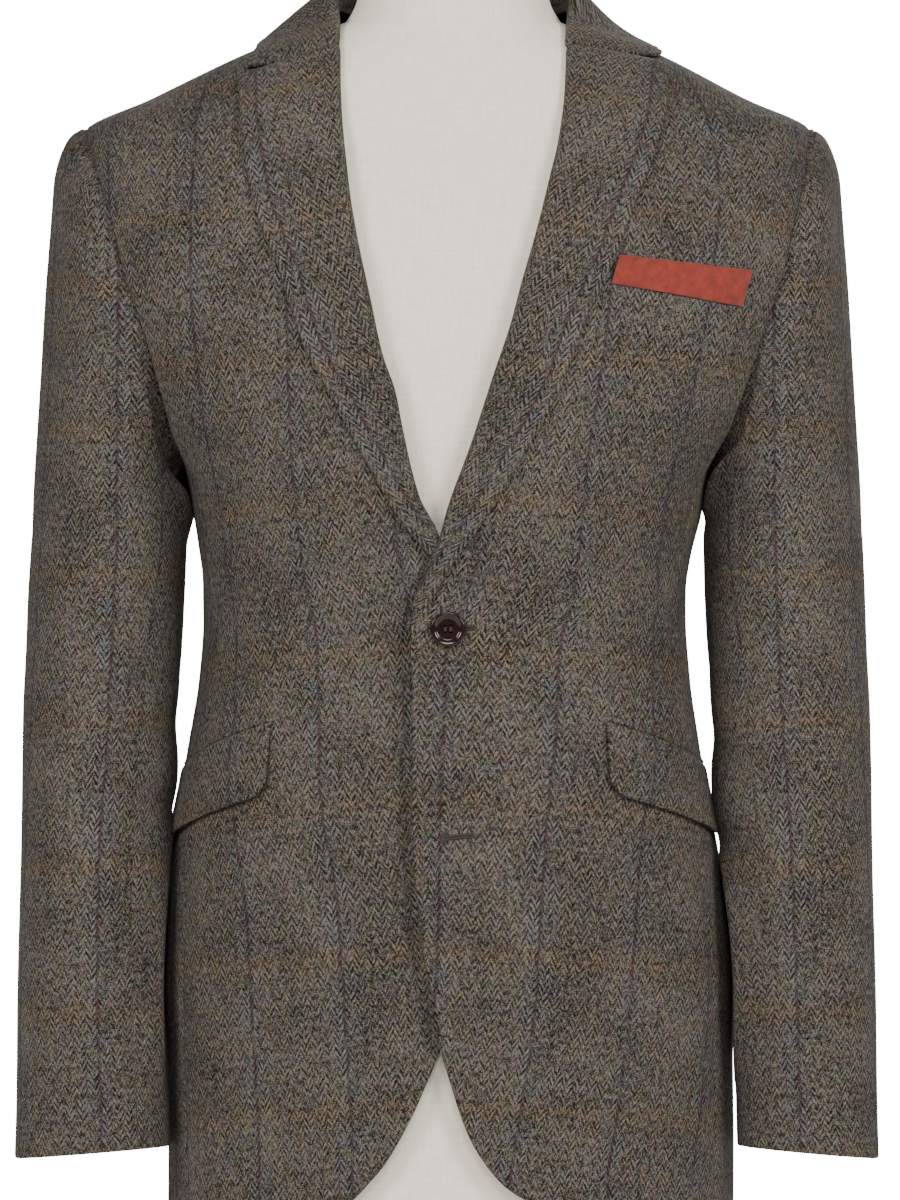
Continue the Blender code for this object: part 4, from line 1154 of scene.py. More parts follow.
def tube(
    centres: Array, aside: Array, up: Array, closed: bool, sides: int = 8
) -> tuple[Array, list[list[int]]]:
    """A round or oval tube along a line.

    Args:
        centres: points of the line.
        aside: at each point, the way and distance from the line to the tube's flank.
        up: the same to its top.
        closed: True for a ring, False for a strand with two ends.
        sides: points round the tube.

    Returns:
        The tube's points and the point numbers of its faces.
    """
    turn = 2 * math.pi * np.arange(sides)[:, None] / sides
    ring = np.cos(turn) * aside[:, None] + np.sin(turn) * up[:, None]
    points = (centres[:, None] + ring).reshape(-1, 3)
    index = np.arange(len(points)).reshape(-1, sides)
    faces = quads(np.pad(index, ((0, int(closed)), (0, 1)), mode="wrap")).tolist()
    if not closed:
        faces += [index[0, ::-1].tolist(), index[-1].tolist()]
    return points, faces


def cloth_wall(
    name: str, outer: Array, inner: Array, uv: Array, material: bpy.types.Material,
    bulge: float = 0.12,
) -> bpy.types.Object:
    """A thin closed wall of cloth with a rounded border.

    Args:
        name: the piece's name.
        outer: grid of points of the right side.
        inner: grid of points of the wrong side.
        uv: place on the cloth of each grid point, in millimetres.
        material: its finish.
        bulge: how far the border's middle stands out, as a share of the thickness.

    Returns:
        The new object.
    """
    rows, cols = outer.shape[:2]
    inside = rows * cols
    border = [(0, c) for c in range(cols)]
    border += [(r, cols - 1) for r in range(1, rows)]
    border += [(rows - 1, c) for c in range(cols - 2, -1, -1)]
    border += [(r, 0) for r in range(rows - 2, 0, -1)]
    ring = []
    for r, c in border:
        back = outer[min(max(r, 1), rows - 2), min(max(c, 1), cols - 2)]
        middle = (outer[r, c] + inner[r, c]) / 2
        thick = np.linalg.norm(outer[r, c] - inner[r, c])
        ring.append(middle + unit(outer[r, c] - back) * thick * bulge)
    points = np.concatenate([outer.reshape(-1, 3), inner.reshape(-1, 3), np.array(ring)])
    flat = uv.reshape(-1, 2)
    edge = np.array([r * cols + c for r, c in border])
    places = np.concatenate([flat, flat, flat[edge]])
    right = quads(np.arange(inside).reshape(rows, cols))
    faces = [*right.tolist(), *(right[:, [0, 3, 2, 1]] + inside).tolist()]
    count = len(border)
    for k in range(count):
        n = (k + 1) % count
        ra, rb = int(edge[k]), int(edge[n])
        ma, mb = 2 * inside + k, 2 * inside + n
        faces.append((ra, ma, mb, rb))
        faces.append((ma, ra + inside, rb + inside, mb))
    return new_object(name, points, faces, material, places)


def turned(
    name: str, outline: Sequence[tuple[float, float]], steps: int,
    material: bpy.types.Material, origin: Sequence[float] = (0.0, 0.0, 0.0),
) -> bpy.types.Object:
    """A closed turned body round Z, both ends of its outline on the axis.

    Args:
        name: the piece's name.
        outline: (radius, height) points from the lower end to the upper one.
        steps: sides round the axis.
        material: its finish.
        origin: where the axis foot lies.

    Returns:
        The new object.
    """
    rings: list[list[int]] = []
    points: list[tuple[float, float, float]] = []
    for radius, height in outline:
        if radius == 0:
            rings.append([len(points)])
            points.append((0.0, 0.0, height))
            continue
        rings.append(list(range(len(points), len(points) + steps)))
        for k in range(steps):
            turn = 2 * math.pi * k / steps
            points.append((radius * math.cos(turn), radius * math.sin(turn), height))
    faces = []
    for low, high in zip(rings, rings[1:]):
        for k in range(steps):
            n = (k + 1) % steps
            if len(low) == 1:
                faces.append((low[0], high[n], high[k]))
            elif len(high) == 1:
                faces.append((low[k], low[n], high[0]))
            else:
                faces.append((low[k], low[n], high[n], high[k]))
    return new_object(name, np.asarray(points) + np.asarray(origin), faces, material)


def rounded(outline: Sequence[tuple[float, float]], radius: float) -> list[tuple[float, float]]:
    """The outline with each corner between its ends cut into a short round.

    Args:
        outline: (radius, height) points.
        radius: how far before and after a corner its round starts and ends.

    Returns:
        The points of the rounded outline.
    """
    points = [np.array(p, float) for p in outline]
    found = [tuple(points[0])]
    for before, corner, after in zip(points, points[1:], points[2:]):
        reach = min(radius, 0.45 * np.linalg.norm(before - corner),
                    0.45 * np.linalg.norm(after - corner))
        start = corner + unit(before - corner) * reach
        end = corner + unit(after - corner) * reach
        for u in (0.0, 0.25, 0.5, 0.75, 1.0):
            found.append(tuple(start * (1 - u) ** 2 + corner * 2 * u * (1 - u) + end * u**2))
    found.append(tuple(points[-1]))
    return found


@dataclass
class Workshop:
    """The finishes that all pieces share, and what each piece does once it is made."""

    finishes: dict[str, bpy.types.Material] = field(default_factory=dict)

    def __post_init__(self) -> None:
        """Builds each finish once."""
        for key, finish in (
            ("tweed", Tweed()), ("wool", BrickWool()), ("horn", Horn()), ("linen", Linen()),
            ("beech", Beech()), ("steel", BrushedSteel()), ("thread", SilkTwist()),
            ("paper", StudioPaper()),
        ):
            self.finishes[key] = finish.material()

    def fit(
        self, piece: bpy.types.Object, node: Optional[str], slot: Optional[str]
    ) -> bpy.types.Object:
        """Puts a piece on the part's one body, in place of the solid that it stands for.

        Args:
            piece: the new object.
            node: the solid that it replaces, if any.
            slot: not used.

        Returns:
            The same object.
        """
        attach(piece, "root")
        if node:
            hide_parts(node)
        LOG.info("%s: %d faces", piece.name, len(piece.data.polygons))
        return piece

    def cloth(
        self, name: str, walls: tuple[Array, Array], uv: Array, node: str, slot: str, held: str,
        rests_on: Sequence[str], finish: str = "tweed",
    ) -> bpy.types.Object:
        """Makes and fits one piece of cloth, and logs the size of its cut.

        Args:
            name: the piece's name.
            walls: grids of points of its right and its wrong side.
            uv: place on the cloth of each grid point, in millimetres.
            node: the solid that it replaces.
            slot: its material slot.
            held: how it is held.
            rests_on: what it lies on or hangs from.
            finish: its finish's key.

        Returns:
            The piece.
        """
        piece = cloth_wall(name, *walls, uv, self.finishes[finish])
        self.fit(piece, node, slot)
        self.declare(piece, walls[0], held, rests_on)
        return piece

    def declare(
        self, piece: bpy.types.Object, outer: Array, held: str, rests_on: Sequence[str],
        with_pieces: Sequence[bpy.types.Object] = (),
    ) -> None:
        """Logs the size of the cut of a piece of cloth.

        Args:
            piece: the piece.
            outer: the grid of its right side, which the cut's size is measured on.
            held: not used.
            rests_on: not used.
            with_pieces: not used.
        """
        width = float(path_length(outer, axis=1)[:, -1].max()) * MM
        length = float(path_length(outer, axis=0)[-1].max()) * MM
        across = outer[:-1, 1:] - outer[:-1, :-1]
        down = outer[1:, :-1] - outer[:-1, :-1]
        area = float(np.linalg.norm(np.cross(across, down), axis=-1).sum()) * MM * MM
        LOG.info("%s cut: %.3f x %.3f m, %.4f m2", piece.name, width, length, area)


# ------------------------------------------------------------------------------------------
# The body of the jacket


@dataclass
class BodyCloth:
    """What the fronts, underarm panels and backs share."""

    shop: Workshop
    front_seam_theta: float = 66.0
    back_seam_theta: float = 114.0
    seam_turn_height: float = 383.0
    seam_angle: float = 144.0
    shoulder_neck_height: float = 768.0
    back_neck_height: float = 763.0
    vent_top: float = 240.0
    vent_underlap: float = 38.0
    columns: int = 58
    hem_rows: tuple[float, ...] = (0, 0.6, 1.4, 2.6, 4.2, 6.2, 8.6, 11.5, 15)

    def seam_theta(self, height: Array | float, front: bool) -> Array:
        """The angle of a seam of the underarm panel at a height.

        Args:
            height: heights above the hem.
            front: True for the front seam, False for the back one.

        Returns:
            Angles for the wearer's left.
        """
        angle = self.seam_angle if front else 360 - self.seam_angle
        at_hem = self.front_seam_theta if front else self.back_seam_theta
        at_armhole = float(ARMHOLE.at(angle)[0])
        top = float(ARMHOLE.at(self.seam_angle)[1])
        turned = smooth_step(height, self.seam_turn_height - 120, top)
        return at_hem + (at_armhole - at_hem) * turned

    def levels(self, front: bool) -> list[tuple[float, float]]:
        """The rows of a front or a back, from the hem to the shoulder.

        Args:
            front: True for a front, False for a back.

        Returns:
            The height and the end angle of each row.
        """
        low = [*self.hem_rows, *np.arange(19, 471, 4.0)]
        rows = [(float(h), float(self.seam_theta(h, front))) for h in low]
        first, last = (self.seam_angle, 0.0) if front else (360 - self.seam_angle, 360.0)
        for angle in np.linspace(first, last, 56):
            theta, height = ARMHOLE.at(angle)
            rows.append((float(height), float(theta)))
        rows += [(float(h), 90.0) for h in np.linspace(ARMHOLE.top, 765.0, 24)[1:]]
        return rows

    def row(
        self, start: float, end: float, height: float, start_set: float, end_set: float
    ) -> tuple[Array, Array, Array]:
        """Angles along one row, with their distances from both ends.

        Args:
            start: the first angle.
            end: the last angle.
            height: the row's height.
            start_set: how far the cloth is set in from the first angle.
            end_set: how far it is set in from the last one.

        Returns:
            Angles, distances from the first end and distances from the last end.
        """
        dense = np.linspace(start, end, 160)
        along = path_length(BODY.point(dense, height))
        length = along[-1] - start_set - end_set
        places = spread(length, self.columns)
        theta = np.interp(places + start_set, along, dense)
        return theta, places, length - places

    @staticmethod
    def edge_fall(distance: Array, layer: Layer) -> Array:
        """How far the cloth falls off towards an edge.

        Args:
            distance: millimetres from the edge.
            layer: whether the edge is free or sewn to a neighbour.

        Returns:
            Millimetres, more at a seam, whose sides are pulled in over a few millimetres.
        """
        if layer is Layer.FREE:
            return turned_edge(distance)
        return 0.42 * bell(distance, 1.5) + 0.25 * bell(distance, 5.0)

    def wall(
        self, name: str, theta: Array, height: Array, sink: Array, uv: Array, replaces: str
    ) -> bpy.types.Object:
        """Makes and fits one panel, and logs the size of its cut.

        Args:
            name: the piece's name.
            theta: angles of its grid.
            height: heights of its grid.
            sink: how far each point lies under the folded surface.
            uv: place on the cloth of each point.
            replaces: the solid that it stands for.

        Returns:
            The panel.
        """
        outer = BODY.laid(theta, height, -sink)
        normals = grid_normals(outer, BODY.normal(theta, height))
        return self.shop.cloth(name, (outer, outer - normals * CLOTH), uv, replaces, "tweed",
                               "draped", ["dress_form"])


def tucked_under(x: Array, height: Array) -> Array:
    """How far the wearer's right front sinks where it passes under the left at the top button.

    Args:
        x: places across the body.
        height: heights above the hem.

    Returns:
        Millimetres.
    """
    inside = x - FRONT_EDGE[Side.LEFT](height)
    near = band(height, 396, 408, 428, 444)
    return 2.8 * near * smooth_step(inside, -8.0, -1.0)


def front_grain(side: Side, theta: Array, height: Array) -> Array:
    """Place on the cloth of points of a front: across from a woven stripe, and up.

    Args:
        side: the wearer's left or right front.
        theta: body angles.
        height: heights above the hem.

    Returns:
        Millimetres across the stripes and along them, in the last axis.
    """
    line = BODY.theta_at(STRIPE_PATH[side](height), height)
    across = BODY.arc(theta, height) - BODY.arc(line, height)
    if side is Side.LEFT:
        across = across * Tweed.stripe_repeat / STRIPE_STEP(height)
    share = (BODY.point(theta, height)[..., 0] - BODY.centre(height)) / BODY.half_width(height)
    up = BODY.rise[False](share, height) - BAR_START
    return np.stack([across, up + 0.08 * side.value * across], axis=-1)


@dataclass
class Front(BodyCloth):
    """One front, from its edge and roll line round to the underarm seam."""

    side: Side = Side.LEFT
    under_start: float = -32.0
    under_end: float = -5.0
    edge_lift: float = 2.6
    edge_trough: float = 4.2
    dart_low: float = 318.0
    dart_high: float = 560.0

    def dart(self, theta: Array, height: float) -> Array:
        """Depth of the front dart's seam, which runs from under the chest to the pocket.

        Args:
            theta: body angles.
            height: height above the hem.

        Returns:
            Millimetres.
        """
        x = BODY.point(theta, height)[..., 0] * self.side.value
        line = 108.0 - 0.03 * (height - self.dart_low)
        fade = band(height, self.dart_low - 4, self.dart_low + 12, self.dart_high - 70,
                    self.dart_high)
        return 0.6 * fade * bell(x - line, 1.8)

    def build(self) -> bpy.types.Object:
        """Makes the front."""
        thetas, heights, sinks = [], [], []
        edge = FRONT_EDGE[self.side]
        for height, end in self.levels(front=True):
            start = float(BODY.theta_at(edge(height), height))
            theta, from_edge, from_seam = self.row(
                start, self.side.value * end, height, 0.0, SEAM_SET
            )
            slope = float(edge(height + 2) - edge(height - 2)) / 4
            from_edge = from_edge / math.sqrt(1 + slope**2)
            fall = self.edge_fall(from_edge, Layer.FREE) + self.edge_fall(from_seam, Layer.SEWN)
            fall = np.maximum(fall, self.edge_fall(np.full_like(theta, height), Layer.FREE))
            lapped = band(height, 84, 120, 380, 400)
            if self.side is Side.RIGHT:
                upper_edge = FRONT_EDGE[Side.LEFT](height)
                inside = BODY.point(theta, height)[:, 0] - upper_edge
                fall = fall + OVERLAP_SINK * smooth_step(inside, self.under_start, self.under_end)
                fall = fall + lapped * self.edge_trough * bell(inside + 4, 8.0)
                fall = fall + tucked_under(inside + upper_edge, height)
            else:
                fall = fall - lapped * self.edge_lift * bell(from_edge, 13.0)
            thetas.append(theta)
            heights.append(np.full_like(theta, height))
            sinks.append(fall + self.dart(theta, height))
        theta, height = np.array(thetas), np.array(heights)
        name = f"front_cloth_{self.side.word}"
        return self.wall(name, theta, height, np.array(sinks),
                         front_grain(self.side, theta, height), f"front_{self.side.word}")


@dataclass
class SidePanel(BodyCloth):
    """The underarm panel, scooped out for the armhole."""

    side: Side = Side.LEFT

    def build(self) -> bpy.types.Object:
        """Makes the panel."""
        angles = np.linspace(self.seam_angle, 360 - self.seam_angle, 40)
        fractions = np.concatenate([np.array(self.hem_rows[:6]) / 500, np.linspace(0.016, 1, 118)])
        thetas, heights, sinks = [], [], []
        for angle in angles:
            top_theta, top_height = (float(v) for v in ARMHOLE.at(angle))
            share = (angle - angles[0]) / (angles[-1] - angles[0])
            height = top_height * fractions
            low, high = self.seam_theta(height, True), self.seam_theta(height, False)
            across = low + (high - low) * share
            settle = smooth_step(height, self.seam_turn_height, top_height)
            theta = across + (top_theta - across) * settle
            nudge = np.degrees(SEAM_SET / BODY.half_width(height))
            theta = theta + nudge * (1 - 2 * share)
            width = np.radians(high - low) * BODY.half_width(height) * 0.9
            sides = [self.edge_fall(width * d, Layer.SEWN) for d in (share, 1 - share)]
            ends = [self.edge_fall(height, Layer.FREE),
                    self.edge_fall(top_height - height, Layer.SEWN)]
            thetas.append(self.side.value * theta)
            heights.append(height)
            sinks.append(sides[0] + sides[1] + ends[0] + ends[1])
        theta, height = np.array(thetas), np.array(heights)
        across = BODY.arc(theta, height) - BODY.arc(self.side.value * 90.0, height)
        uv = np.stack([across + 20.0, height - BAR_START + 7.0], axis=-1)
        return self.wall(f"underarm_cloth_{self.side.word}", theta, height, np.array(sinks), uv,
                         f"side_{self.side.word}")


@dataclass
class Back(BodyCloth):
    """One back, from the centre seam and vent round to the underarm seam."""

    side: Side = Side.LEFT
    under_start: float = -34.0
    under_end: float = -3.0

    def build(self) -> bpy.types.Object:
        """Makes the back."""
        thetas, heights, sinks = [], [], []
        for height, end in self.levels(front=False):
            middle = float(BODY.centre(height))
            vent = height < self.vent_top
            if self.side is Side.RIGHT and vent:
                middle += self.vent_underlap
            start = float(BODY.theta_at(middle, height, back=True))
            if self.side is Side.RIGHT:
                start = start - 360 if start > 0 else start
            theta, from_centre, from_seam = self.row(
                start, self.side.value * end, height, SEAM_SET, SEAM_SET
            )
            layer = Layer.FREE if vent else Layer.SEWN
            fall = self.edge_fall(from_centre, layer) + self.edge_fall(from_seam, Layer.SEWN)
            fall = np.maximum(fall, self.edge_fall(np.full_like(theta, height), Layer.FREE))
            if self.side is Side.RIGHT:
                inside = BODY.point(theta, height)[:, 0] - BODY.centre(height)
                near = smooth_step(inside, self.under_start, self.under_end)
                shut = smooth_step(height, self.vent_top + 4, self.vent_top + 44)
                fall = fall + OVERLAP_SINK * near * (1 - shut)
            share = float(smooth_step(height, ARMHOLE.top, 765.0))
            drop = self.shoulder_neck_height - self.back_neck_height
            level = height - share * drop * smooth_step(np.abs(theta), 90, 170)
            thetas.append(theta)
            heights.append(level)
            sinks.append(fall)
        theta, height = np.array(thetas), np.array(heights)
        x = BODY.point(theta, height)[..., 0]
        share = (x - BODY.centre(height)) / BODY.half_width(height)
        middle = 180.0 * self.side.value
        across = BODY.arc(theta, height) - BODY.arc(middle, height)
        up = BODY.rise[True](share, height) - BAR_START
        uv = np.stack([across + 22.0, up], axis=-1)
        return self.wall(f"back_cloth_{self.side.word}", theta, height, np.array(sinks), uv,
                         f"back_{self.side.word}")


# ------------------------------------------------------------------------------------------
# Lapels and collar


class BodyLine:
    """A line of (x, height) places laid on the body, read by the distance along it."""

    def __init__(self, places: Sequence[tuple[float, float]], folded: bool) -> None:
        """Measures the line.

        Args:
            places: the line's places.
            folded: True to lie on the folded body, False on the smooth one.
        """
        self.places = np.asarray(places, float)
        self.surface = BODY.laid if folded else BODY.point
        self.reach = path_length(self.places)
        self.length = self.reach[-1]

    def __call__(self, distance: Array | float) -> tuple[Array, Array]:
        """Reads the line.

        Args:
            distance: millimetres from its start.

        Returns:
            The points there, and the ways out of the body.
        """
        x, height = (np.interp(distance, self.reach, self.places[:, k]) for k in (0, 1))
        theta = BODY.theta_at(x, height)
        return self.surface(theta, height), BODY.normal(theta, height)

    def roll(self, inward: float, down: float) -> tuple[Array, Array, Array]:
        """Where cloth is turned over at the line's start.

        Args:
            inward: how far the roll's centre lies along the line.
            down: how far it lies below it.

        Returns:
            The centre, the way along the line and the way out of the body.
        """
        root, normal = self(0.0)
        ahead = self(min(4.0, self.length))[0] - root
        across = unit(ahead - normal * np.dot(ahead, normal))
        return root + inward * across - down * normal, across, normal


def arc_ways(across: Array, up: Array, angles: Sequence[float]) -> Array:
    """Unit vectors that turn from one way to another.

    Args:
        across: the way at 0 degrees.
        up: the way at 90 degrees.
        angles: degrees.

    Returns:
        One vector for each angle.
    """
    turn = np.radians(np.asarray(angles, float))[:, None]
    return np.cos(turn) * across + np.sin(turn) * up


@dataclass
class TurnedCloth:
    """Cloth that is turned over a soft roll and laid back on the body."""

    shop: Workshop
    roll_inner: float = 3.2
    centre_in: float = 1.5
    centre_down: float = 1.1
    spring: float = 10.0
    ridge_lift: float = 0.9
    belly: float = 1.3
    curl: float = 0.7
    full_width: float = 60.0
    flat_count: int = 40

    def rolled_row(
        self, line: Sequence[tuple[float, float]], size: float = 1.0
    ) -> tuple[Array, Array, Array]:
        """Outer and inner points across a turned edge, and their distance from the outer edge.

        Args:
            line: (x, height) places from the roll outwards.
            size: how full the roll is, less than 1 where it flattens.

        Returns:
            Right-side points, wrong-side points, and distances from the free edge.
        """
        at = BodyLine(line, folded=True)
        radius, centre_in = size * self.roll_inner, size * self.centre_in
        centre, across, normal = at.roll(centre_in, size * self.centre_down)
        ways = arc_ways(across, normal, np.linspace(190, 90, 14))
        top_gap = size * (self.roll_inner - self.centre_down)
        width = at.length - centre_in
        offsets = spread(width, self.flat_count, EDGE_STEPS)[1:]
        distance = centre_in + offsets
        points, up = at(distance)
        lift_in = bell(offsets, self.spring)
        rest = LAYER_GAP + self.ridge_lift * smooth_step(points[:, 2], 680, 725)
        share, full = offsets / max(width, 1e-6), min(1, width / self.full_width)
        belly = self.belly * np.sin(np.pi * np.clip(share, 0, 1)) * full
        curl = self.curl * smooth_step(share, 0.5, 1.0) * full
        lift = rest + (top_gap - rest) * lift_in + belly + curl
        fall = turned_edge(width - offsets)
        groove = 0.28 * bell(width - offsets - 6.0, 0.9)
        inner = np.concatenate([centre + radius * ways, points + lift[:, None] * up])
        top = lift + CLOTH - fall - groove
        outer = np.concatenate([centre + (radius + CLOTH) * ways, points + top[:, None] * up])
        length = path_length(outer)
        return outer, inner, length[-1] - length

    @staticmethod
    def finish_rows(outer: Array, inner: Array) -> None:
        """Rounds the first and last rows of a grid a little, as a turned edge is."""
        for index in (0, -1):
            outer[index] -= (outer[index] - inner[index]) * 0.22


@dataclass
class Lapel(TurnedCloth):
    """A notched lapel, from the top button up to the gorge."""

    side: Side = Side.LEFT
    roll_top: float = 748.0
    stripe_inset: float = 11.5
    bar_height: float = 457.6

    def build(self) -> bpy.types.Object:
        """Makes the lapel."""
        roll_start, edge_start = ROLL_STARTS[self.side]
        edge_top = {Side.LEFT: 736.0, Side.RIGHT: 727.5}[self.side]
        shares = np.concatenate([[0, 0.004, 0.01], np.linspace(0.02, 0.985, 84), [0.993, 1.0]])
        rows = []
        for share in shares:
            roll = roll_start + share * (self.roll_top - roll_start)
            edge = edge_start + share * (edge_top - edge_start)
            line = [(float(FRONT_EDGE[self.side](roll)), roll),
                    (float(LAPEL_EDGE[self.side](edge)), edge)]
            rows.append(self.rolled_row(line, 0.3 + 0.7 * float(smooth_step(share, 0.0, 0.16))))
        outer, inner, back = (np.array(grid) for grid in zip(*rows))
        self.finish_rows(outer, inner)
        if self.side is Side.RIGHT:
            for grid in (outer, inner):
                grid[..., 1] += 1.8 * tucked_under(grid[..., 0], grid[..., 2])
        along = path_length(outer[:, -1])
        edges = edge_start + shares * (edge_top - edge_start)
        start = np.interp(self.bar_height, edges, along)
        v = np.repeat((along - start)[:, None], outer.shape[1], axis=1)
        uv = np.stack([back - self.stripe_inset, v], axis=-1)
        word = self.side.word
        return self.shop.cloth(f"lapel_cloth_{word}", (outer, inner), uv, f"lapel_{word}",
                               "tweed_turned", "folded", [f"front_cloth_{word}"])


@dataclass
class Collar(TurnedCloth):
    """The collar, stand and fall in one, from notch to notch round the back of the neck."""

    stand_lean: float = 0.12
    fall_lift: float = 0.6
    turns: tuple[float, ...] = (180, 135, 90, 50, 15)
    fall_shares: tuple[float, ...] = (0.2, 0.42, 0.64, 0.83, 1.0)
    leaf_angles: tuple[float, ...] = (185, 160, 135, 112, 90)
    leaf_shares: tuple[float, ...] = (0.05, 0.14, 0.28, 0.46, 0.66, 0.84, 1.0)
    stations: int = 161
    crowding: float = 0.35
    across: int = 64

    def leaf_row(self, side: Side, leaf: LeafLine) -> Array:
        """A row of the collar in front of the shoulder.

        Args:
            side: the wearer's left or right.
            leaf: where the row lies.

        Returns:
            Points in the middle of the cloth, from the fold to the outer edge.
        """
        shift = float(BODY.centre(leaf.fold_height))
        at = BodyLine([
            (side.value * leaf.fold_x + shift, leaf.fold_height),
            (side.value * leaf.bend_x + shift, leaf.bend_height),
            (side.value * leaf.edge_x + shift, leaf.edge_height),
        ], folded=False)
        centre, across, normal = at.roll(self.centre_in, self.centre_down)
        ways = arc_ways(across, normal, self.leaf_angles)
        row = list(centre + (self.roll_inner + CLOTH / 2) * ways)
        top_gap = self.roll_inner - self.centre_down
        for share in self.leaf_shares:
            distance = self.centre_in + share * (at.length - self.centre_in)
            point, up = at(distance)
            near = bell(distance - self.centre_in, self.spring)
            rest = LAYER_GAP + self.ridge_lift * float(smooth_step(point[2], 680, 725))
            row.append(point + (rest + (top_gap - rest) * near + CLOTH / 2) * up)
        return np.array(row)

    def rib_row(self, side: Side, rib: CollarRib) -> Array:
        """A row of the collar round the neck: stand, fold and fall.

        Args:
            side: the wearer's left or right.
            rib: where the row lies.

        Returns:
            Points in the middle of the cloth, from the stand's foot to the outer edge.
        """
        shift = float(BODY.centre(rib.height))
        out = unit(np.array([side.value * rib.out_x, rib.out_y, 0.0]))
        up = np.array([0.0, 0.0, 1.0])
        radius = self.roll_inner + CLOTH / 2
        centre = np.array([shift + side.value * rib.x, rib.y, rib.height])
        foot = centre - radius * out - rib.stand * (up + self.stand_lean * out)
        row = [foot, (foot + centre - radius * out) / 2,
               *(centre + radius * arc_ways(out, up, self.turns))]
        theta = side.value * rib.edge_theta
        edge = BODY.point(theta, rib.edge_height)
        edge = edge + BODY.normal(theta, rib.edge_height) * (2 * LAYER_GAP + CLOTH / 2)
        start = row[-1]
        bulge = (start + edge) / 2 + rib.belly * unit(out + self.fall_lift * up)
        for share in self.fall_shares:
            row.append(start * (1 - share) ** 2 + bulge * 2 * share * (1 - share)
                       + edge * share**2)
        return np.array(row)

    @staticmethod
    def curve_through(places: Array, keys: Array, wanted: Array) -> Array:
        """Points at wanted places on a smooth curve through key points.

        Args:
            places: rising places of the keys.
            keys: key points, the first axis along the curve.
            wanted: where to read the curve.

        Returns:
            The points, the first axis along wanted.
        """
        slopes = np.gradient(keys, places, axis=0)
        i = np.clip(np.searchsorted(places, wanted) - 1, 0, len(places) - 2)
        span = (places[i + 1] - places[i]).reshape(-1, *([1] * (keys.ndim - 1)))
        u = ((wanted - places[i]) / (places[i + 1] - places[i])).reshape(span.shape)
        return hermite((keys[i], keys[i + 1]), (slopes[i], slopes[i + 1]), span, u)

    def build(self) -> bpy.types.Object:
        """Makes the collar."""
        stations, rows = [], []
        for side in (Side.LEFT, Side.RIGHT):
            for leaf in COLLAR_LEAF[side]:
                stations.append(side.value * leaf.station)
                rows.append(self.leaf_row(side, leaf))
            for rib in COLLAR_RIBS[side]:
                stations.append(side.value * rib.station)
                rows.append(self.rib_row(side, rib))
        stations.append(COLLAR_BACK.station)
        rows.append(self.rib_row(Side.LEFT, COLLAR_BACK))
        order = np.argsort(stations)
        even = np.linspace(-1, 1, self.stations)
        wanted = np.sin(even * math.pi / 2) * self.crowding + even * (1 - self.crowding)
        middle = self.curve_through(np.asarray(stations)[order], np.asarray(rows)[order], wanted)
        fine = []
        for row in middle:
            reach = path_length(row)
            places = spread(float(reach[-1]), self.across, EDGE_STEPS)
            fine.append(self.curve_through(reach, row, places))
        grid = np.array(fine)
        out = np.zeros_like(grid)
        out[..., 0], out[..., 1] = grid[..., 0] * 0.3, np.abs(grid[..., 1]) * 0.2
        out[..., 2] = 40.0
        normals = grid_normals(grid, out)
        if normals[self.stations // 2, -1, 1] < 0:
            normals = -normals
        outer = grid + normals * CLOTH / 2
        inner = grid - normals * CLOTH / 2
        self.finish_rows(outer, inner)
        down = path_length(outer, axis=1)
        free = down[:, -1:] - down
        outer = outer - normals * (
            turned_edge(free) + 0.28 * bell(free - 6.0, 0.9)
        )[..., None]
        around = path_length(outer[:, -1])
        uv = np.stack([free - 14.0, np.repeat((around - around[-1] / 2)[:, None],
                                               outer.shape[1], axis=1)], axis=-1)
        return self.shop.cloth("collar_cloth", (outer, inner), uv, "collar", "tweed_turned",
                               "folded", ["back_cloth_left", "back_cloth_right"])


# ------------------------------------------------------------------------------------------
# Sleeves


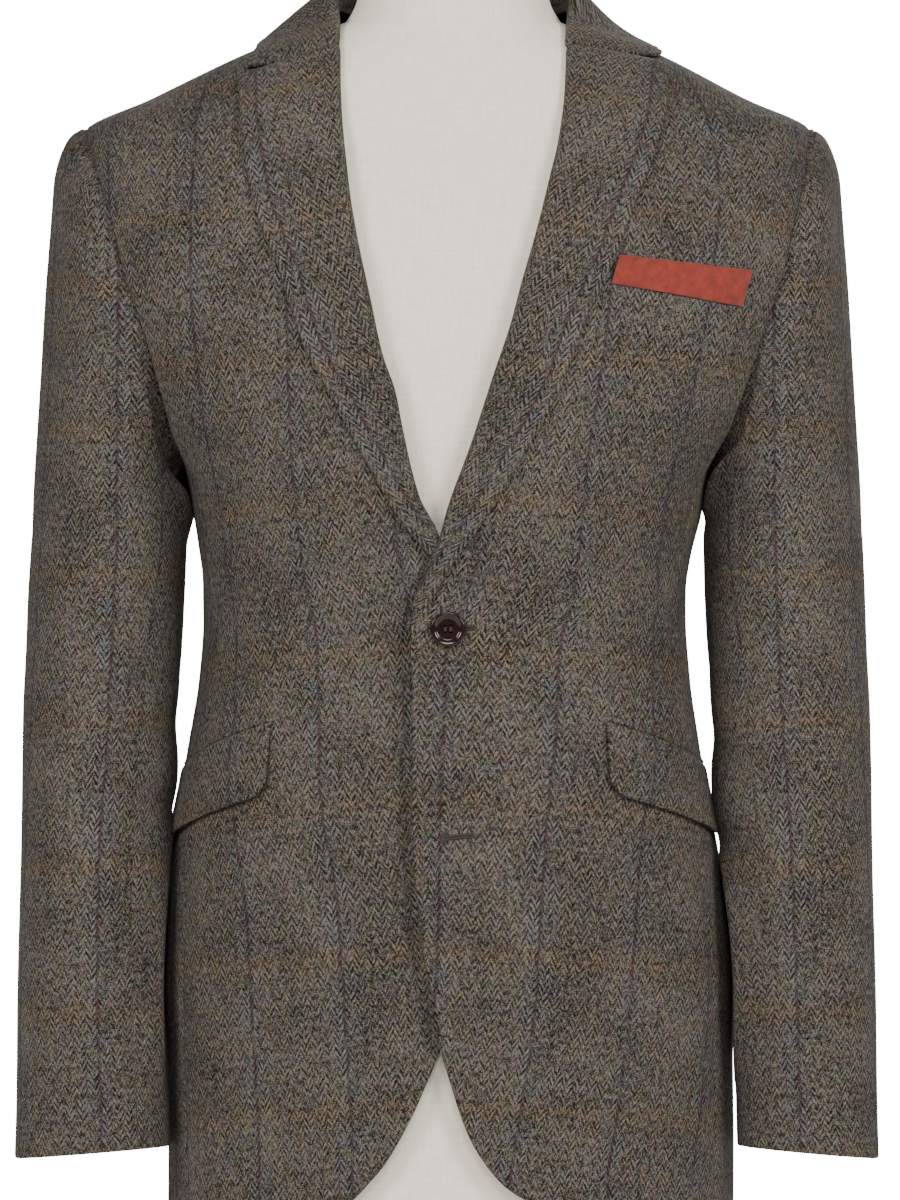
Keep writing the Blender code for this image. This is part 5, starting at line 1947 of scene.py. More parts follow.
@dataclass
class Sleeve:
    """A two-piece sleeve, set into the armhole and hanging to the cuff."""

    shop: Workshop
    side: Side = Side.LEFT
    seam_front: float = 126.0
    seam_back: float = 252.0
    cap_reach: float = 32.0
    cap_reach_least: float = 6.0
    cap_lean: float = 0.3
    cap_drop: float = 0.35
    cap_fall: float = 0.55
    head_trim_spread: float = 1.5
    seam_gap: float = 0.05
    tuck: float = 3.0
    crown_rise: float = 2.2
    crown_spread: int = 6
    hollow_angles: tuple[float, ...] = (98, 142, 162, 188)
    lean_width: float = 12.0
    arm_radius: float = 52.0
    stripe_angle: float = 97.0
    bar_height: float = 133.0
    bar_step: float = 92.8
    head_shares: tuple[float, ...] = (0, 0.006, 0.014, 0.026, 0.045)
    cuff_steps: tuple[float, ...] = (0, 0.6, 1.4, 2.6, 4.5)
    head_rows: int = 44
    arm_rows: int = 110
    column_step: float = 3.4

    def __post_init__(self) -> None:
        """Reads the sleeve's columns for its side."""
        word = self.side.word
        self.inner_at = column(SLEEVE_ROWS, f"inner_{word}")
        self.outer_at = column(SLEEVE_ROWS, f"outer_{word}")
        self.middle_at = column(SLEEVE_ROWS, "middle")
        self.depth_at = column(SLEEVE_ROWS, "half_depth")
        self.tilt_at = column(SLEEVE_ROWS, "tilt")
        self.top, self.cuff = SLEEVE_ROWS[0].height, SLEEVE_ROWS[-1].height
        heights, angles = np.arange(self.cuff, self.top + 8, 8.0), np.arange(-140.0, 281.0, 1.0)
        turn = np.radians(angles)[None, :]
        half = (self.outer_at(heights) - self.inner_at(heights))[:, None] / 2
        depth = self.depth_at(heights)[:, None]
        step = np.hypot(half * np.sin(turn), depth * np.cos(turn)) * math.radians(1.0)
        self.arc = HeightTable(heights, angles, np.cumsum(step, axis=1))

    @staticmethod
    def radial(turn: Array) -> Array:
        """Unit vectors out of the wearer's left arm, at angles in radians."""
        return np.stack([np.cos(turn), -np.sin(turn), np.zeros_like(turn)], axis=-1)

    def crease_depth(self, angle: Array, height: Array) -> Array:
        """How far the creases pull the sleeve in.

        Args:
            angle: angles round the arm.
            height: heights above the hem.

        Returns:
            Millimetres.
        """
        depth = np.zeros_like(np.asarray(height, float))
        for crease in SLEEVE_CREASES[self.side]:
            off = half_turn(angle - crease.angle)
            along = off / crease.reach
            across = (height - crease.height - crease.rise * off) / crease.width
            bent = across + 0.25 * np.sin(along * 1.9 + crease.height)
            depth = depth + crease.depth * np.exp(-(along**2) - bent**2)
        slow = np.sin(angle / 23.0 + height / 57.0) * np.sin(height / 41.0 - angle / 31.0)
        return depth + 0.5 * slow

    def arm_point(self, angle: Array, height: Array) -> Array:
        """Points of the sleeve below the underarm.

        Args:
            angle: angles round the arm, 0 outside, 90 in front and 180 inside.
            height: heights above the hem.

        Returns:
            The points, on the wearer's left.
        """
        turn = np.radians(angle)
        middle_x = (self.inner_at(height) + self.outer_at(height)) / 2
        half = (self.outer_at(height) - self.inner_at(height)) / 2
        x = middle_x + half * np.cos(turn)
        y = self.middle_at(height) - self.depth_at(height) * np.sin(turn)
        z = height - self.tilt_at(height) * np.cos(turn)
        points = np.stack([x, y, z], axis=-1)
        return points - self.radial(turn) * self.crease_depth(angle, height)[..., None]

    def cap_curve(self, angle: Array, station: Array) -> Array:
        """Points on a fan of curves from the armhole out and down to the arm.

        Args:
            angle: angles round the armhole and the arm.
            station: places along each curve, from 0 to 1.

        Returns:
            The points, on the wearer's left.
        """
        turn = np.radians(angle)
        theta, height = ARMHOLE.at(angle)
        start = BODY.point(self.side.value * theta, height)
        normal = BODY.normal(self.side.value * theta, height)
        start[..., 0] *= self.side.value
        normal[..., 0] *= self.side.value
        toward = np.stack([np.zeros_like(turn), np.sin(turn) * 0.6, -np.cos(turn)], axis=-1)
        start = start + self.seam_gap * toward
        way = np.array([1.0, 0.0, 0.0]) + self.cap_lean * normal
        under = np.maximum(0.0, -np.cos(turn))[..., None]
        way = unit(way + under * np.array([0.0, 0.0, -self.cap_drop]))
        end = self.arm_point(angle, np.full_like(turn, self.top))
        reach = self.cap_reach_least + self.cap_reach * ((1 + np.cos(turn)) / 2) ** 0.7
        fall = self.cap_fall * (height - self.top)
        one = start + way * reach[..., None]
        two = end + np.stack([np.zeros_like(fall), np.zeros_like(fall), fall], axis=-1)
        u = station[..., None]
        return (start * (1 - u) ** 3 + one * 3 * u * (1 - u) ** 2 + two * 3 * u**2 * (1 - u)
                + end * u**3)

    def cap_point(self, angle: Array, station: Array) -> Array:
        """Points of the sleeve head, trimmed to its outer edge and creased.

        Args:
            angle: angles round the armhole and the arm.
            station: places from the armhole at 0 to the arm at 1.

        Returns:
            The points, on the wearer's left.
        """
        turn = np.radians(angle)
        points = self.cap_curve(angle, station)
        top = self.cap_curve(np.zeros_like(angle), station)
        excess = (top[..., 0] - HEAD_EDGE(top[..., 2])) * smooth_step(station, 0.0, 0.06)
        points[..., 0] -= excess * ((1 + np.cos(turn)) / 2) ** self.head_trim_spread
        pull = self.crease_depth(angle, points[..., 2]) * band(station, 0.05, 0.3, 0.9, 1.0)
        return points - self.radial(turn) * pull[..., None]

    def leaned(self, points: Array) -> Array:
        """Leans the sleeve's inner side on the body, below the armhole and beside the skirt.

        Args:
            points: the sleeve's points, on the wearer's left; they are moved.

        Returns:
            The same points.
        """
        height = points[..., 2]
        body_x = BODY.laid(self.side.value * 90.0, height, 0.0)[..., 0] * self.side.value
        off = np.maximum(0.0, points[..., 0] - body_x)
        behind = 22.0 * smooth_step(points[..., 1], -12.0, 20.0)
        for reach, low, full, fade, end in SLEEVE_LEANS[self.side]:
            near = smooth_step(height, low, full)
            near = near * (1 - smooth_step(height - behind, fade, end))
            shift = reach * near * bell(off, self.lean_width)
            points[..., 0] -= np.minimum(shift, np.maximum(0.0, off + 0.5 * near))
        return points

    def point(self, angle: Array, station: Array) -> Array:
        """Points of the sleeve on its own side.

        Args:
            angle: angles round the arm.
            station: 0 to 1 down the head, 1 to 2 down the arm.

        Returns:
            The points.
        """
        angle, station = np.broadcast_arrays(np.asarray(angle, float), np.asarray(station, float))
        head = self.cap_point(angle, np.clip(station, 0, 1))
        height = self.top + (self.cuff - self.top) * np.clip(station - 1, 0, 1)
        points = np.where((station < 1)[..., None], head, self.arm_point(angle, height))
        points = self.leaned(points)
        points[..., 0] *= self.side.value
        return points

    def grain(self, points: Array, angle: Array, knee: int, origin: float) -> Array:
        """Place on the cloth, with the stripes running straight up the arm to the shoulder.

        Args:
            points: the sleeve's points, rows from the shoulder to the cuff.
            angle: their angles round the arm.
            knee: the row where the head meets the arm.
            origin: the angle where a stripe lies.

        Returns:
            Millimetres across the stripes and along them, in the last axis.
        """
        level = np.clip(points[..., 2], self.cuff, self.top)
        middle = (self.inner_at(level) + self.outer_at(level)) / 2
        half = (self.outer_at(level) - self.inner_at(level)) / 2
        cosine = (points[..., 0] * self.side.value - middle) / half
        sine = (self.middle_at(level) - points[..., 1]) / self.depth_at(level)
        free = np.degrees(np.arctan2(sine, cosine))
        free = angle + (free - angle + 180) % 360 - 180
        flat = np.degrees(np.arcsin(np.clip(sine, -1, 1)))
        outside = smooth_step(np.cos(np.radians(angle)), -0.1, 0.3)
        outside = outside * (1 - smooth_step(np.abs(sine), 0.55, 0.92))
        eased = free + (flat - free) * outside
        eased[knee:] = angle[knee:]
        across = (self.arc(np.full_like(eased, origin), level) - self.arc(eased, level))
        turn = np.radians((eased[1:] + eased[:-1]) / 2)
        way = unit(np.stack([np.cos(turn) / half[1:], -np.sin(turn) / self.depth_at(level[1:])],
                            axis=-1))
        step = np.diff(points, axis=0)
        out = step[..., 0] * self.side.value * way[..., 0] + step[..., 1] * way[..., 1]
        climb = np.hypot(out, step[..., 2])[:knee]
        up = points[..., 2].copy()
        up[:knee] = up[knee] + np.cumsum(climb[::-1], axis=0)[::-1]
        along = (up - self.bar_height) / self.bar_step * Tweed.bar_repeat
        return np.stack([across * self.side.value, along], axis=-1)

    def sunk(self, angle: Array, down: Array, low: float, high: float) -> Array:
        """How far the cloth lies under the sleeve's smooth surface.

        Args:
            angle: angles round the arm.
            down: distances from the armhole.
            low: the angle of the piece's first seam.
            high: the angle of its other seam.

        Returns:
            Millimetres, less than 0 where it stands proud.
        """
        sew = BodyCloth.edge_fall
        seams = [np.radians(off) * self.arm_radius for off in (angle - low, high - angle)]
        fall = 0.5 * (sew(seams[0], Layer.SEWN) + sew(seams[1], Layer.SEWN))
        fall = fall + sew(down, Layer.SEWN) + sew(down[-1] - down, Layer.FREE)
        # The crown stands a little proud of the shoulder seam, over the wadding.
        crown = ((1 + np.cos(np.radians(angle))) / 2) ** self.crown_spread
        proud = 0.5 * sew(down, Layer.SEWN) + self.crown_rise * bell(down - 5, 10)
        fall = fall - crown * proud
        # Under the chest the sleeve hangs back from the front's edge, in a shaded hollow.
        deep, wide = SLEEVE_HOLLOWS[self.side]
        reach = wide * (0.45 + 0.55 * smooth_step(angle, 105, 150))
        return fall + band(angle, *self.hollow_angles) * deep * bell(down, reach)

    def piece(self, first: float, last: float, name: str, node: str, slot: str) -> None:
        """Makes one of the two pieces of the sleeve.

        Args:
            first: the angle of its first seam.
            last: the angle of its other seam.
            name: the piece's name.
            node: the solid that it stands for.
            slot: its material slot.
        """
        ends = np.degrees(np.array(SEAM_STEPS) / self.arm_radius)
        nudge = math.degrees(SEAM_SET / self.arm_radius)
        low, high = first + nudge, last - nudge
        count = int((last - first) / self.column_step)
        middle = np.linspace(low + ends[-1], high - ends[-1], count)[1:-1]
        angles = np.concatenate([low + ends, middle, high - ends[::-1]])
        span = self.top - self.cuff
        close = np.array(self.cuff_steps) / span
        stations = np.concatenate([
            self.head_shares[:-1], np.linspace(self.head_shares[-1], 1, self.head_rows)[:-1],
            np.linspace(1, 2 - close[-1], self.arm_rows)[:-1], 2 - close[::-1],
        ])
        a, s = np.meshgrid(angles, stations)
        points = self.point(a, s)
        hint = points - np.array([self.side.value * 220.0, -10.0, 0.0])
        hint[..., 2] = 0.0
        normals = grid_normals(points, hint)
        fall = self.sunk(a, path_length(points), low, high)
        outer = points - normals * fall[..., None]
        inner = outer - normals * CLOTH
        origin = self.stripe_angle if first < self.stripe_angle < last else last
        uv = self.grain(points, a, int(np.argmin(np.abs(stations - 1.0))), origin)
        # The seam allowance is turned in under the body's cloth.
        theta, height = ARMHOLE.at(angles)
        way = outer[4] - outer[0]
        shift = self.tuck * unit(way) + 0.8 * BODY.normal(self.side.value * theta, height)
        share = self.tuck / np.linalg.norm(way, axis=-1)[:, None]
        outer = np.concatenate([(outer[0] - shift)[None], outer])
        inner = np.concatenate([(inner[0] - shift)[None], inner])
        uv = np.concatenate([(uv[0] - share * (uv[4] - uv[0]))[None], uv])
        word = self.side.word
        self.shop.cloth(name, (outer, inner), uv, node, slot, "hung",
                        [f"front_cloth_{word}", f"back_cloth_{word}"])

    def build(self) -> None:
        """Makes the top sleeve and the under sleeve."""
        word = self.side.word
        self.piece(self.seam_back - 360, self.seam_front, f"top_sleeve_cloth_{word}",
                   f"top_sleeve_{word}", "tweed")
        self.piece(self.seam_front, self.seam_back, f"under_sleeve_cloth_{word}",
                   f"under_sleeve_{word}", "tweed_turned")


# ------------------------------------------------------------------------------------------
# Pockets, button and buttonholes


@dataclass
class Flap:
    """A slanted pocket flap with rounded lower corners."""

    shop: Workshop
    side: Side = Side.LEFT
    rear_theta: float = 83.0
    depth: float = 46.0
    corner: float = 0.12
    corner_trim: float = 9.0
    stand: float = 2.0
    lean: float = 1.0
    jetting: float = 4.2
    per_degree: float = 2.6

    def build(self) -> bpy.types.Object:
        """Makes the flap, with the jetting above it."""
        front_x = {Side.LEFT: 101.5, Side.RIGHT: -112.0}[self.side]
        top_front = {Side.LEFT: 318.0, Side.RIGHT: 317.5}[self.side]
        top_rear = {Side.LEFT: 289.0, Side.RIGHT: 288.0}[self.side]
        s = self.side.value
        start = float(BODY.theta_at(front_x, top_front))
        end = s * self.rear_theta
        shares = spread(1.0, 60, EDGE_SHARES)
        drops = np.concatenate([[0, 0.012, 0.03], np.linspace(0.06, 0.93, 22), [0.965, 0.986, 1]])
        share, drop = np.meshgrid(shares, drops, indexing="ij")
        top = top_front + share * (top_rear - top_front)
        near = np.minimum(share, 1 - share)
        round_in = np.clip(1 - near / self.corner, 0, 1)
        trim = self.corner_trim * (1 - np.sqrt(1 - round_in**2))
        height = top - drop * (self.depth - trim)
        theta = start + share * (end - start) - s * self.lean * (1 - share) * drop
        width = abs(end - start) * self.per_degree
        edge = np.minimum(np.minimum(share, 1 - share) * width, (1 - drop) * self.depth)
        fall = turned_edge(edge) + 0.3 * bell(edge - 6, 0.9)
        fall = fall + 0.9 * bell(drop * self.depth, 1.4)
        rise = LAYER_GAP + self.stand * drop**1.4
        swell = 0.5 * np.sin(share * 9.0 + 1.0) * drop
        inner = BODY.laid(theta, height, rise + swell)
        outer = BODY.laid(theta, height, rise + swell + CLOTH - fall)
        piece = cloth_wall(f"flap_cloth_{self.side.word}", outer, inner,
                           front_grain(self.side, theta, height), self.shop.finishes["tweed"])
        self.shop.fit(piece, f"flap_{self.side.word}", "tweed_turned")
        jetting = self.jet(start, end, top_front, top_rear)
        self.shop.declare(piece, outer, "hung", [f"front_cloth_{self.side.word}"], [jetting])
        return piece

    def jet(
        self, start: float, end: float, top_front: float, top_rear: float
    ) -> bpy.types.Object:
        """Makes the narrow jetting that edges the pocket's mouth, just above the flap.

        Args:
            start: the body angle of its front end.
            end: the body angle of its rear end.
            top_front: the height of the flap's top edge in front.
            top_rear: the height of the flap's top edge at the rear.

        Returns:
            The jetting.
        """
        shares = spread(1.0, 50, EDGE_SHARES)
        ups = np.array([0, 0.06, 0.14, 0.26, 0.4, 0.5, 0.6, 0.74, 0.86, 0.94, 1.0])
        share, up = np.meshgrid(shares, ups, indexing="ij")
        theta = start + share * (end - start)
        height = top_front + share * (top_rear - top_front) + 0.3 + up * self.jetting
        edge = np.minimum(up, 1 - up) * self.jetting
        edge = np.minimum(edge, np.minimum(share, 1 - share) * abs(end - start) * self.per_degree)
        rise = 0.2 + 1.5 * (1 - bell(edge, 0.9))
        outer = BODY.laid(theta, height, rise)
        inner = BODY.laid(theta, height, np.full_like(rise, -0.6))
        piece = cloth_wall(f"jetting_cloth_{self.side.word}", outer, inner,
                           front_grain(self.side, theta, height), self.shop.finishes["tweed"])
        return self.shop.fit(piece, None, "tweed_turned")


@dataclass
class BreastWelt:
    """The breast-pocket welt, cut from a contrast cloth."""

    shop: Workshop
    top: tuple[tuple[float, float], tuple[float, float]] = ((109.5, 614.5), (194.0, 605.0))
    bottom: tuple[tuple[float, float], tuple[float, float]] = ((104.5, 596.5), (187.0, 582.5))
    thickness: float = 1.8

    def build(self) -> bpy.types.Object:
        """Makes the welt."""
        shares = spread(1.0, 56, (0, 0.006, 0.016, 0.03, 0.05))
        downs = spread(1.0, 20, (0, 0.03, 0.08, 0.15, 0.24))
        share, down = np.meshgrid(shares, downs, indexing="ij")
        top, low = (line[0] + share[..., None] * (line[1] - line[0])
                    for line in np.array([self.top, self.bottom]))
        place = top + (low - top) * down[..., None]
        theta = BODY.theta_at(place[..., 0], place[..., 1])
        height = place[..., 1]
        edge = np.minimum(np.minimum(share, 1 - share) * 85, np.minimum(down, 1 - down) * 20)
        fall = 0.6 * bell(edge, 1.2)
        buckle = 0.35 * np.sin(share * 11.0 + down * 2.0) * np.sin(down * math.pi)
        inner = BODY.laid(theta, height, LAYER_GAP)
        outer = BODY.laid(theta, height, LAYER_GAP + self.thickness - fall + buckle)
        uv = np.stack([share * 86.0, -down * 20.0], axis=-1)
        return self.shop.cloth("breast_welt_cloth", (outer, inner), uv, "breast_welt",
                               "red_wool", "laid", ["front_cloth_left"], finish="wool")


@dataclass
class FrontButton:
    """The upper front button: turned horn with a raised rim, a dished middle and four holes."""

    shop: Workshop
    radius: float = 11.25
    x: float = 0.6
    height: float = 377.0
    rim: float = 3.5
    dish: float = 2.0
    hole_radius: float = 1.0
    hole_offset: float = 2.5
    gap: float = 0.9
    strands: tuple[float, ...] = (-0.45, 0.0, 0.45)
    thread_radius: float = 0.3
    bar_stretch: float = 1.12
    bar_height: float = 0.55
    bar_drop: float = 2.6

    def place(self, piece: bpy.types.Object) -> None:
        """Lays a piece that was made at the origin on the front, at the button's place."""
        theta = BODY.theta_at(self.x, self.height)
        normal = BODY.normal(theta, self.height)
        seat = BODY.laid(theta, self.height, self.gap)
        turn = Vector(normal).to_track_quat("Z", "Y").to_matrix().to_4x4()
        turn.translation = Vector((seat + (0.0, 0.0, HEM_HEIGHT)) * MM)
        piece.data.transform(turn)

    def build(self) -> None:
        """Makes the button, its holes and the sewing thread."""
        r, rim = self.radius, self.rim
        outline = rounded(
            [(0, 0), (0.7 * r, 0), (0.97 * r, 0.3 * rim), (r, 0.62 * rim), (0.955 * r, 0.97 * rim),
             (0.86 * r, rim), (0.74 * r, 0.9 * rim), (0.66 * r, self.dish + 0.35),
             (0.6 * r, self.dish + 0.1), (0, self.dish)],
            0.5,
        )
        origin = (0.0, 0.0, -HEM_HEIGHT)
        body = turned("button_horn", outline, 96, self.shop.finishes["horn"], origin)
        holes = []
        for k in range(4):
            turn = math.radians(45 + 90 * k)
            spot = (self.hole_offset * math.cos(turn), self.hole_offset * math.sin(turn),
                    -HEM_HEIGHT)
            hole = turned(f"drill_{k}", [(0, -rim), (self.hole_radius, -rim),
                                         (self.hole_radius, 2 * rim), (0, 2 * rim)],
                          20, self.shop.finishes["horn"], spot)
            cut = body.modifiers.new(f"hole_{k}", "BOOLEAN")
            cut.operation, cut.solver, cut.object = "DIFFERENCE", "EXACT", hole
            holes.append(hole)
        graph = bpy.context.evaluated_depsgraph_get()
        drilled = bpy.data.meshes.new_from_object(body.evaluated_get(graph))
        body.modifiers.clear()
        body.data = drilled
        for hole in holes:
            bpy.data.objects.remove(hole)
        drilled.shade_smooth()
        drilled.set_sharp_from_angle(angle=math.radians(50))
        self.place(body)
        self.shop.fit(body, "button", "dark_horn")
        self.shop.fit(self.thread(), None, "tweed_turned")

    def thread(self) -> bpy.types.Object:
        """Two bars of thread over the button, hole to hole, each end dipping down into its hole."""
        offset = self.hole_offset * math.sqrt(0.5)
        u = np.linspace(-1, 1, 15)
        y = u * offset * self.bar_stretch
        z = self.dish + self.bar_height - self.bar_drop * np.maximum(0.0, np.abs(u) - 0.72) / 0.28
        across, up = (np.tile(way, (len(u), 1)) * self.thread_radius
                      for way in ((1.0, 0.0, 0.0), (0.0, 0.0, 1.0)))
        points: list[Array] = []
        faces: list[list[int]] = []
        for x in (bar * offset + strand for bar in (-1, 1) for strand in self.strands):
            line = np.stack([np.full_like(u, x), y, z], axis=-1)
            around, sides = tube(line, across, up, closed=False)
            faces += [[n + len(points) * len(around) for n in side] for side in sides]
            points.append(around)
        spun = new_object("button_thread", np.concatenate(points) - (0, 0, HEM_HEIGHT), faces,
                          self.shop.finishes["thread"])
        self.place(spun)
        return spun


@dataclass
class Buttonhole:
    """A worked buttonhole: purl stitches round a slit, with an eyelet at its front end."""

    shop: Workshop
    name: str
    height: float
    front_x: float
    length: float = 22.0
    tilt: float = 2.0
    radius: float = 0.85
    eyelet: float = 2.1
    slit_half: float = 0.8
    lift: float = 0.25
    flatness: float = 0.6
    stitches: int = 62

    def build(self) -> bpy.types.Object:
        """Makes the stitched ring round the slit."""
        path = []
        for turn in np.linspace(-150, 150, 17):
            path.append((self.eyelet - self.eyelet * math.cos(math.radians(turn)),
                         self.eyelet * math.sin(math.radians(turn))))
        out = np.linspace(self.eyelet * 2, self.length, 12)
        lead = [(x, self.slit_half) for x in out]
        trail = [(x, -self.slit_half) for x in np.linspace(self.length, self.eyelet * 2, 12)]
        ring = np.array([(-x + 2 * self.eyelet, y) for x, y in path] + lead + trail)
        closed = np.concatenate([ring, ring[:1]])
        reach = path_length(closed)
        count = self.stitches * 6
        along = np.linspace(0, reach[-1], count, endpoint=False)
        line = np.stack([np.interp(along, reach, closed[:, 0]),
                         np.interp(along, reach, closed[:, 1])], axis=-1)
        x = self.front_x + line[:, 0]
        height = self.height + line[:, 1] + self.tilt * line[:, 0] / self.length
        theta = BODY.theta_at(x, height)
        middle = BODY.laid(theta, height, self.lift)
        normal = BODY.normal(theta, height)
        tangent = unit(np.roll(middle, -1, axis=0) - np.roll(middle, 1, axis=0))
        aside = unit(np.cross(normal, tangent))
        swell = 1 + 0.22 * np.cos(along / reach[-1] * self.stitches * 2 * math.pi)
        thick = self.radius * swell[:, None]
        points, faces = tube(middle, thick * aside, self.flatness * thick * normal, closed=True)
        piece = new_object(self.name, points, faces, self.shop.finishes["thread"])
        return self.shop.fit(piece, None, "tweed_turned")


# ------------------------------------------------------------------------------------------
# Dress form, stand and studio


@dataclass
class DressForm:
    """A limbless torso and neck covered in linen, with a beech cap, a steel pole and a base."""

    shop: Workshop
    bottom: float = -22.0
    foot: float = 0.86
    base_radius: float = 165.0
    base_thickness: float = 22.0
    pole_radius: float = 16.0
    cap_radius: float = 46.0
    cap_height: float = 15.0
    gap: float = 0.3
    neck: tuple[tuple[float, float, float, float], ...] = (
        (766, 69, 60, 57), (776, 63, 60, 54), (790, 59.5, 61, 51), (812, 57.5, 60.5, 49),
        (842, 57, 61, 48), (850, 53, 57, 44),
    )

    def torso(self) -> bpy.types.Object:
        """Makes the covered torso and neck in one."""
        inset = Profile((-30, 300, 500, 600, 672, 690, 706, 720, 760),
                        (12.0, 12.0, 11.0, 9.5, 8.0, 7.0, 5.0, 4.0, 3.6))
        theta = np.linspace(-180, 180, 145)
        shift = float(BODY.centre(768.0))
        rings = []
        under = BODY.point(theta, self.bottom)
        middle = under[:-1].mean(0)
        for share, lift in ((self.foot - 0.05, 0.0), (self.foot, 0.0), (0.9, 0.9), (0.93, 3.6)):
            ring = middle + (under - middle) * np.array([share, share, 1.0])
            ring[:, 2] = self.bottom + lift
            rings.append(ring)
        for height in np.concatenate([np.arange(-13, 690, 7.0), np.arange(690, 757, 4.0)]):
            points = BODY.point(theta, height)
            rings.append(points - BODY.normal(theta, height) * float(inset(height)))
        table = np.array(self.neck)
        columns = [Profile(table[:, 0], table[:, k]) for k in (1, 2, 3)]
        for height in (766, 769, 772, 776, 781, 786, 792, 800, 812, 826, 838, 842, 846, 848.5, 850):
            half, front, back = (float(c(height)) for c in columns)
            sine, cosine = np.sin(np.radians(theta)), np.cos(np.radians(theta))
            depth = np.where(cosine > 0, front, back)
            rings.append(np.stack([shift + half * sine, -depth * cosine,
                                   np.full_like(sine, height)], axis=-1))
        grid = np.array(rings)
        around = path_length(grid, axis=1)
        up = path_length(grid)[:, :1].repeat(grid.shape[1], axis=1)
        uv = np.stack([around - around[:, -1:] / 2, up], axis=-1)
        rows, cols = grid.shape[:2]
        caps = np.array([grid[0, :-1].mean(0), grid[-1, :-1].mean(0)])
        points = np.concatenate([grid.reshape(-1, 3), caps])
        places = np.concatenate([uv.reshape(-1, 2), [[0.0, -60.0], [0.0, 900.0]]])
        faces = quads(np.arange(rows * cols).reshape(rows, cols)).tolist()
        for c in range(cols - 1):
            faces.append((c + 1, c, rows * cols))
            faces.append(((rows - 1) * cols + c, (rows - 1) * cols + c + 1, rows * cols + 1))
        return new_object("form_linen_cover", points, faces, self.shop.finishes["linen"], places)

    def build(self) -> None:
        """Makes the form and what carries it."""
        self.shop.fit(self.torso(), "dress_form", "linen")
        last = self.neck[-1]
        origin = (float(BODY.centre(768.0)), (last[3] - last[2]) / 2, last[0] + self.gap)
        r, h = self.cap_radius, self.cap_height
        cap = turned("neck_cap_turned", rounded(
            [(0, 0), (r, 0), (r + 2, 0.2 * h), (r + 1, 0.55 * h), (0.7 * r, 0.9 * h), (0, h)],
            3.0), 96, self.shop.finishes["beech"], origin)
        self.shop.fit(cap, "neck_cap", "beech")
        floor = -HEM_HEIGHT
        top = floor + self.base_thickness
        low, high = top + self.gap, self.bottom - self.gap
        r = self.pole_radius
        pole = turned("pole_tube", rounded([(0, low), (r, low), (r, high), (0, high)], 0.6),
                      64, self.shop.finishes["steel"])
        self.shop.fit(pole, "stand_pole", "brushed_steel")
        r = self.base_radius
        base = turned("base_turned", rounded(
            [(0, floor), (r, floor), (r, floor + 10), (r - 6, top - 4), (r - 16, top), (0, top)],
            3.5), 128, self.shop.finishes["beech"])
        self.shop.fit(base, "stand_base", "beech")


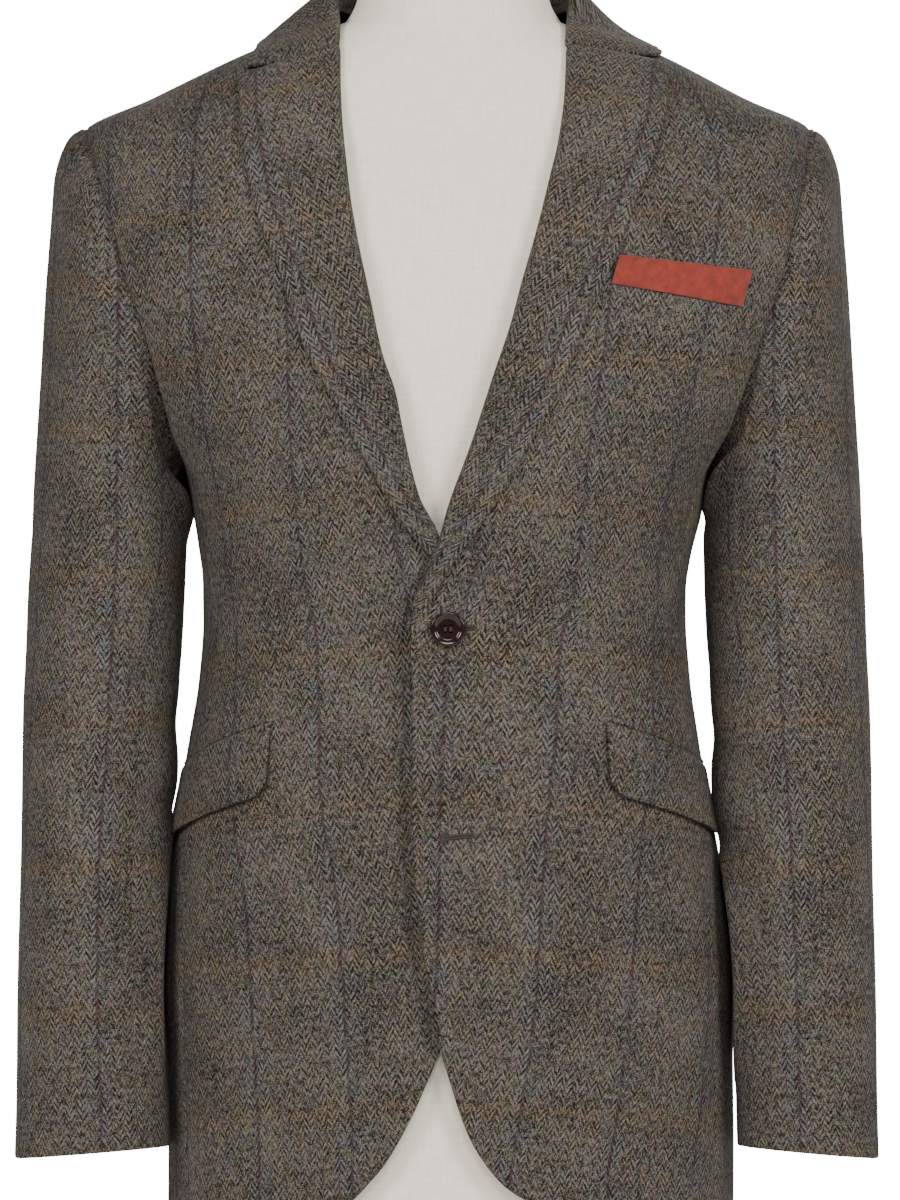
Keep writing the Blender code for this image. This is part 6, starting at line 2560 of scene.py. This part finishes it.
@dataclass
class Studio:
    """A pale floor, soft light and the camera."""

    shop: Workshop
    frame_height: float = 0.768
    centre_x: float = 0.0019
    centre_z: float = 0.5455
    distance: float = 12.0
    plane_y: float = -0.03
    floor_radius: float = 2.6
    floor_sides: int = 96
    aim: tuple[float, float, float] = (0.0, 0.0, 0.62)
    softboxes: tuple[tuple[str, tuple[float, float, float], float, float], ...] = (
        ("softbox_right", (2.5, -2.6, 1.9), 1.3, 108.0),
        ("softbox_left", (-2.5, -2.6, 1.9), 1.3, 96.0),
        ("softbox_front", (0.1, -3.8, 2.4), 1.4, 68.0),
        ("softbox_back", (0.6, 2.8, 2.2), 1.8, 75.0),
    )
    air_strength: float = 0.22
    backdrop_strength: float = 16.0

    def softbox(
        self, name: str, place: tuple[float, float, float], size: float, power: float
    ) -> None:
        """Adds one large square area light.

        Args:
            name: the light's name.
            place: where it stands.
            size: its side.
            power: watts.
        """
        data = bpy.data.lights.new(name, "AREA")
        data.size, data.energy = size, power
        lamp = link(name, data)
        lamp.location = place
        lamp.rotation_euler = (Vector(self.aim) - Vector(place)).to_track_quat("-Z", "Y").to_euler()

    def build(self) -> None:
        """Makes the floor, the lights, the world and the camera."""
        mesh = bpy.data.meshes.new("floor_paper")
        ring = [(self.floor_radius * math.cos(t), self.floor_radius * math.sin(t), 0.0)
                for t in np.linspace(0, 2 * math.pi, self.floor_sides, endpoint=False)]
        mesh.from_pydata(ring, [], [tuple(range(self.floor_sides))])
        mesh.materials.append(self.shop.finishes["paper"])
        link("floor_paper", mesh)
        for box in self.softboxes:
            self.softbox(*box)

        world = bpy.data.worlds.new("studio_air")
        bpy.context.scene.world = world
        world.use_nodes = True
        tree, white = world.node_tree, (1.0, 1.0, 1.0, 1.0)
        air = tree.nodes["Background"]
        connect(tree, air, {"Color": white, "Strength": self.air_strength})
        bright = add_node(
            tree, "Background", {}, {"Color": white, "Strength": self.backdrop_strength}
        )
        seen = add_node(tree, "LightPath")
        mix = add_node(tree, "MixShader", {}, {
            0: seen.outputs["Is Camera Ray"], 1: air.outputs[0], 2: bright.outputs[0],
        })
        connect(tree, tree.nodes["World Output"], {"Surface": mix.outputs[0]})

        lens = bpy.data.cameras.new("camera")
        lens.sensor_width = 36.0
        lens.lens = 36.0 * self.distance / self.frame_height
        lens.clip_start, lens.clip_end = 0.1, 80.0
        camera = link("camera", lens)
        camera.location = (self.centre_x, self.plane_y - self.distance, self.centre_z)
        camera.rotation_euler = (math.radians(90), 0.0, 0.0)
        bpy.context.scene.camera = camera


def main() -> None:
    """Builds every sub-assembly in order."""
    logging.basicConfig(level=logging.INFO, format="%(name)s: %(message)s")
    shop = Workshop()
    Studio(shop).build()
    DressForm(shop).build()
    for side in (Side.LEFT, Side.RIGHT):
        Front(shop, side=side).build()
        SidePanel(shop, side=side).build()
        Back(shop, side=side).build()
        Lapel(shop, side=side).build()
        Sleeve(shop, side=side).build()
        Flap(shop, side=side).build()
    Collar(shop).build()
    BreastWelt(shop).build()
    FrontButton(shop).build()
    Buttonhole(shop, "buttonhole_upper", 376.0, -9.0, length=26.0).build()
    Buttonhole(shop, "buttonhole_lower", 244.0, -4.5, length=21.0).build()


if __name__ == "__main__":
    main()
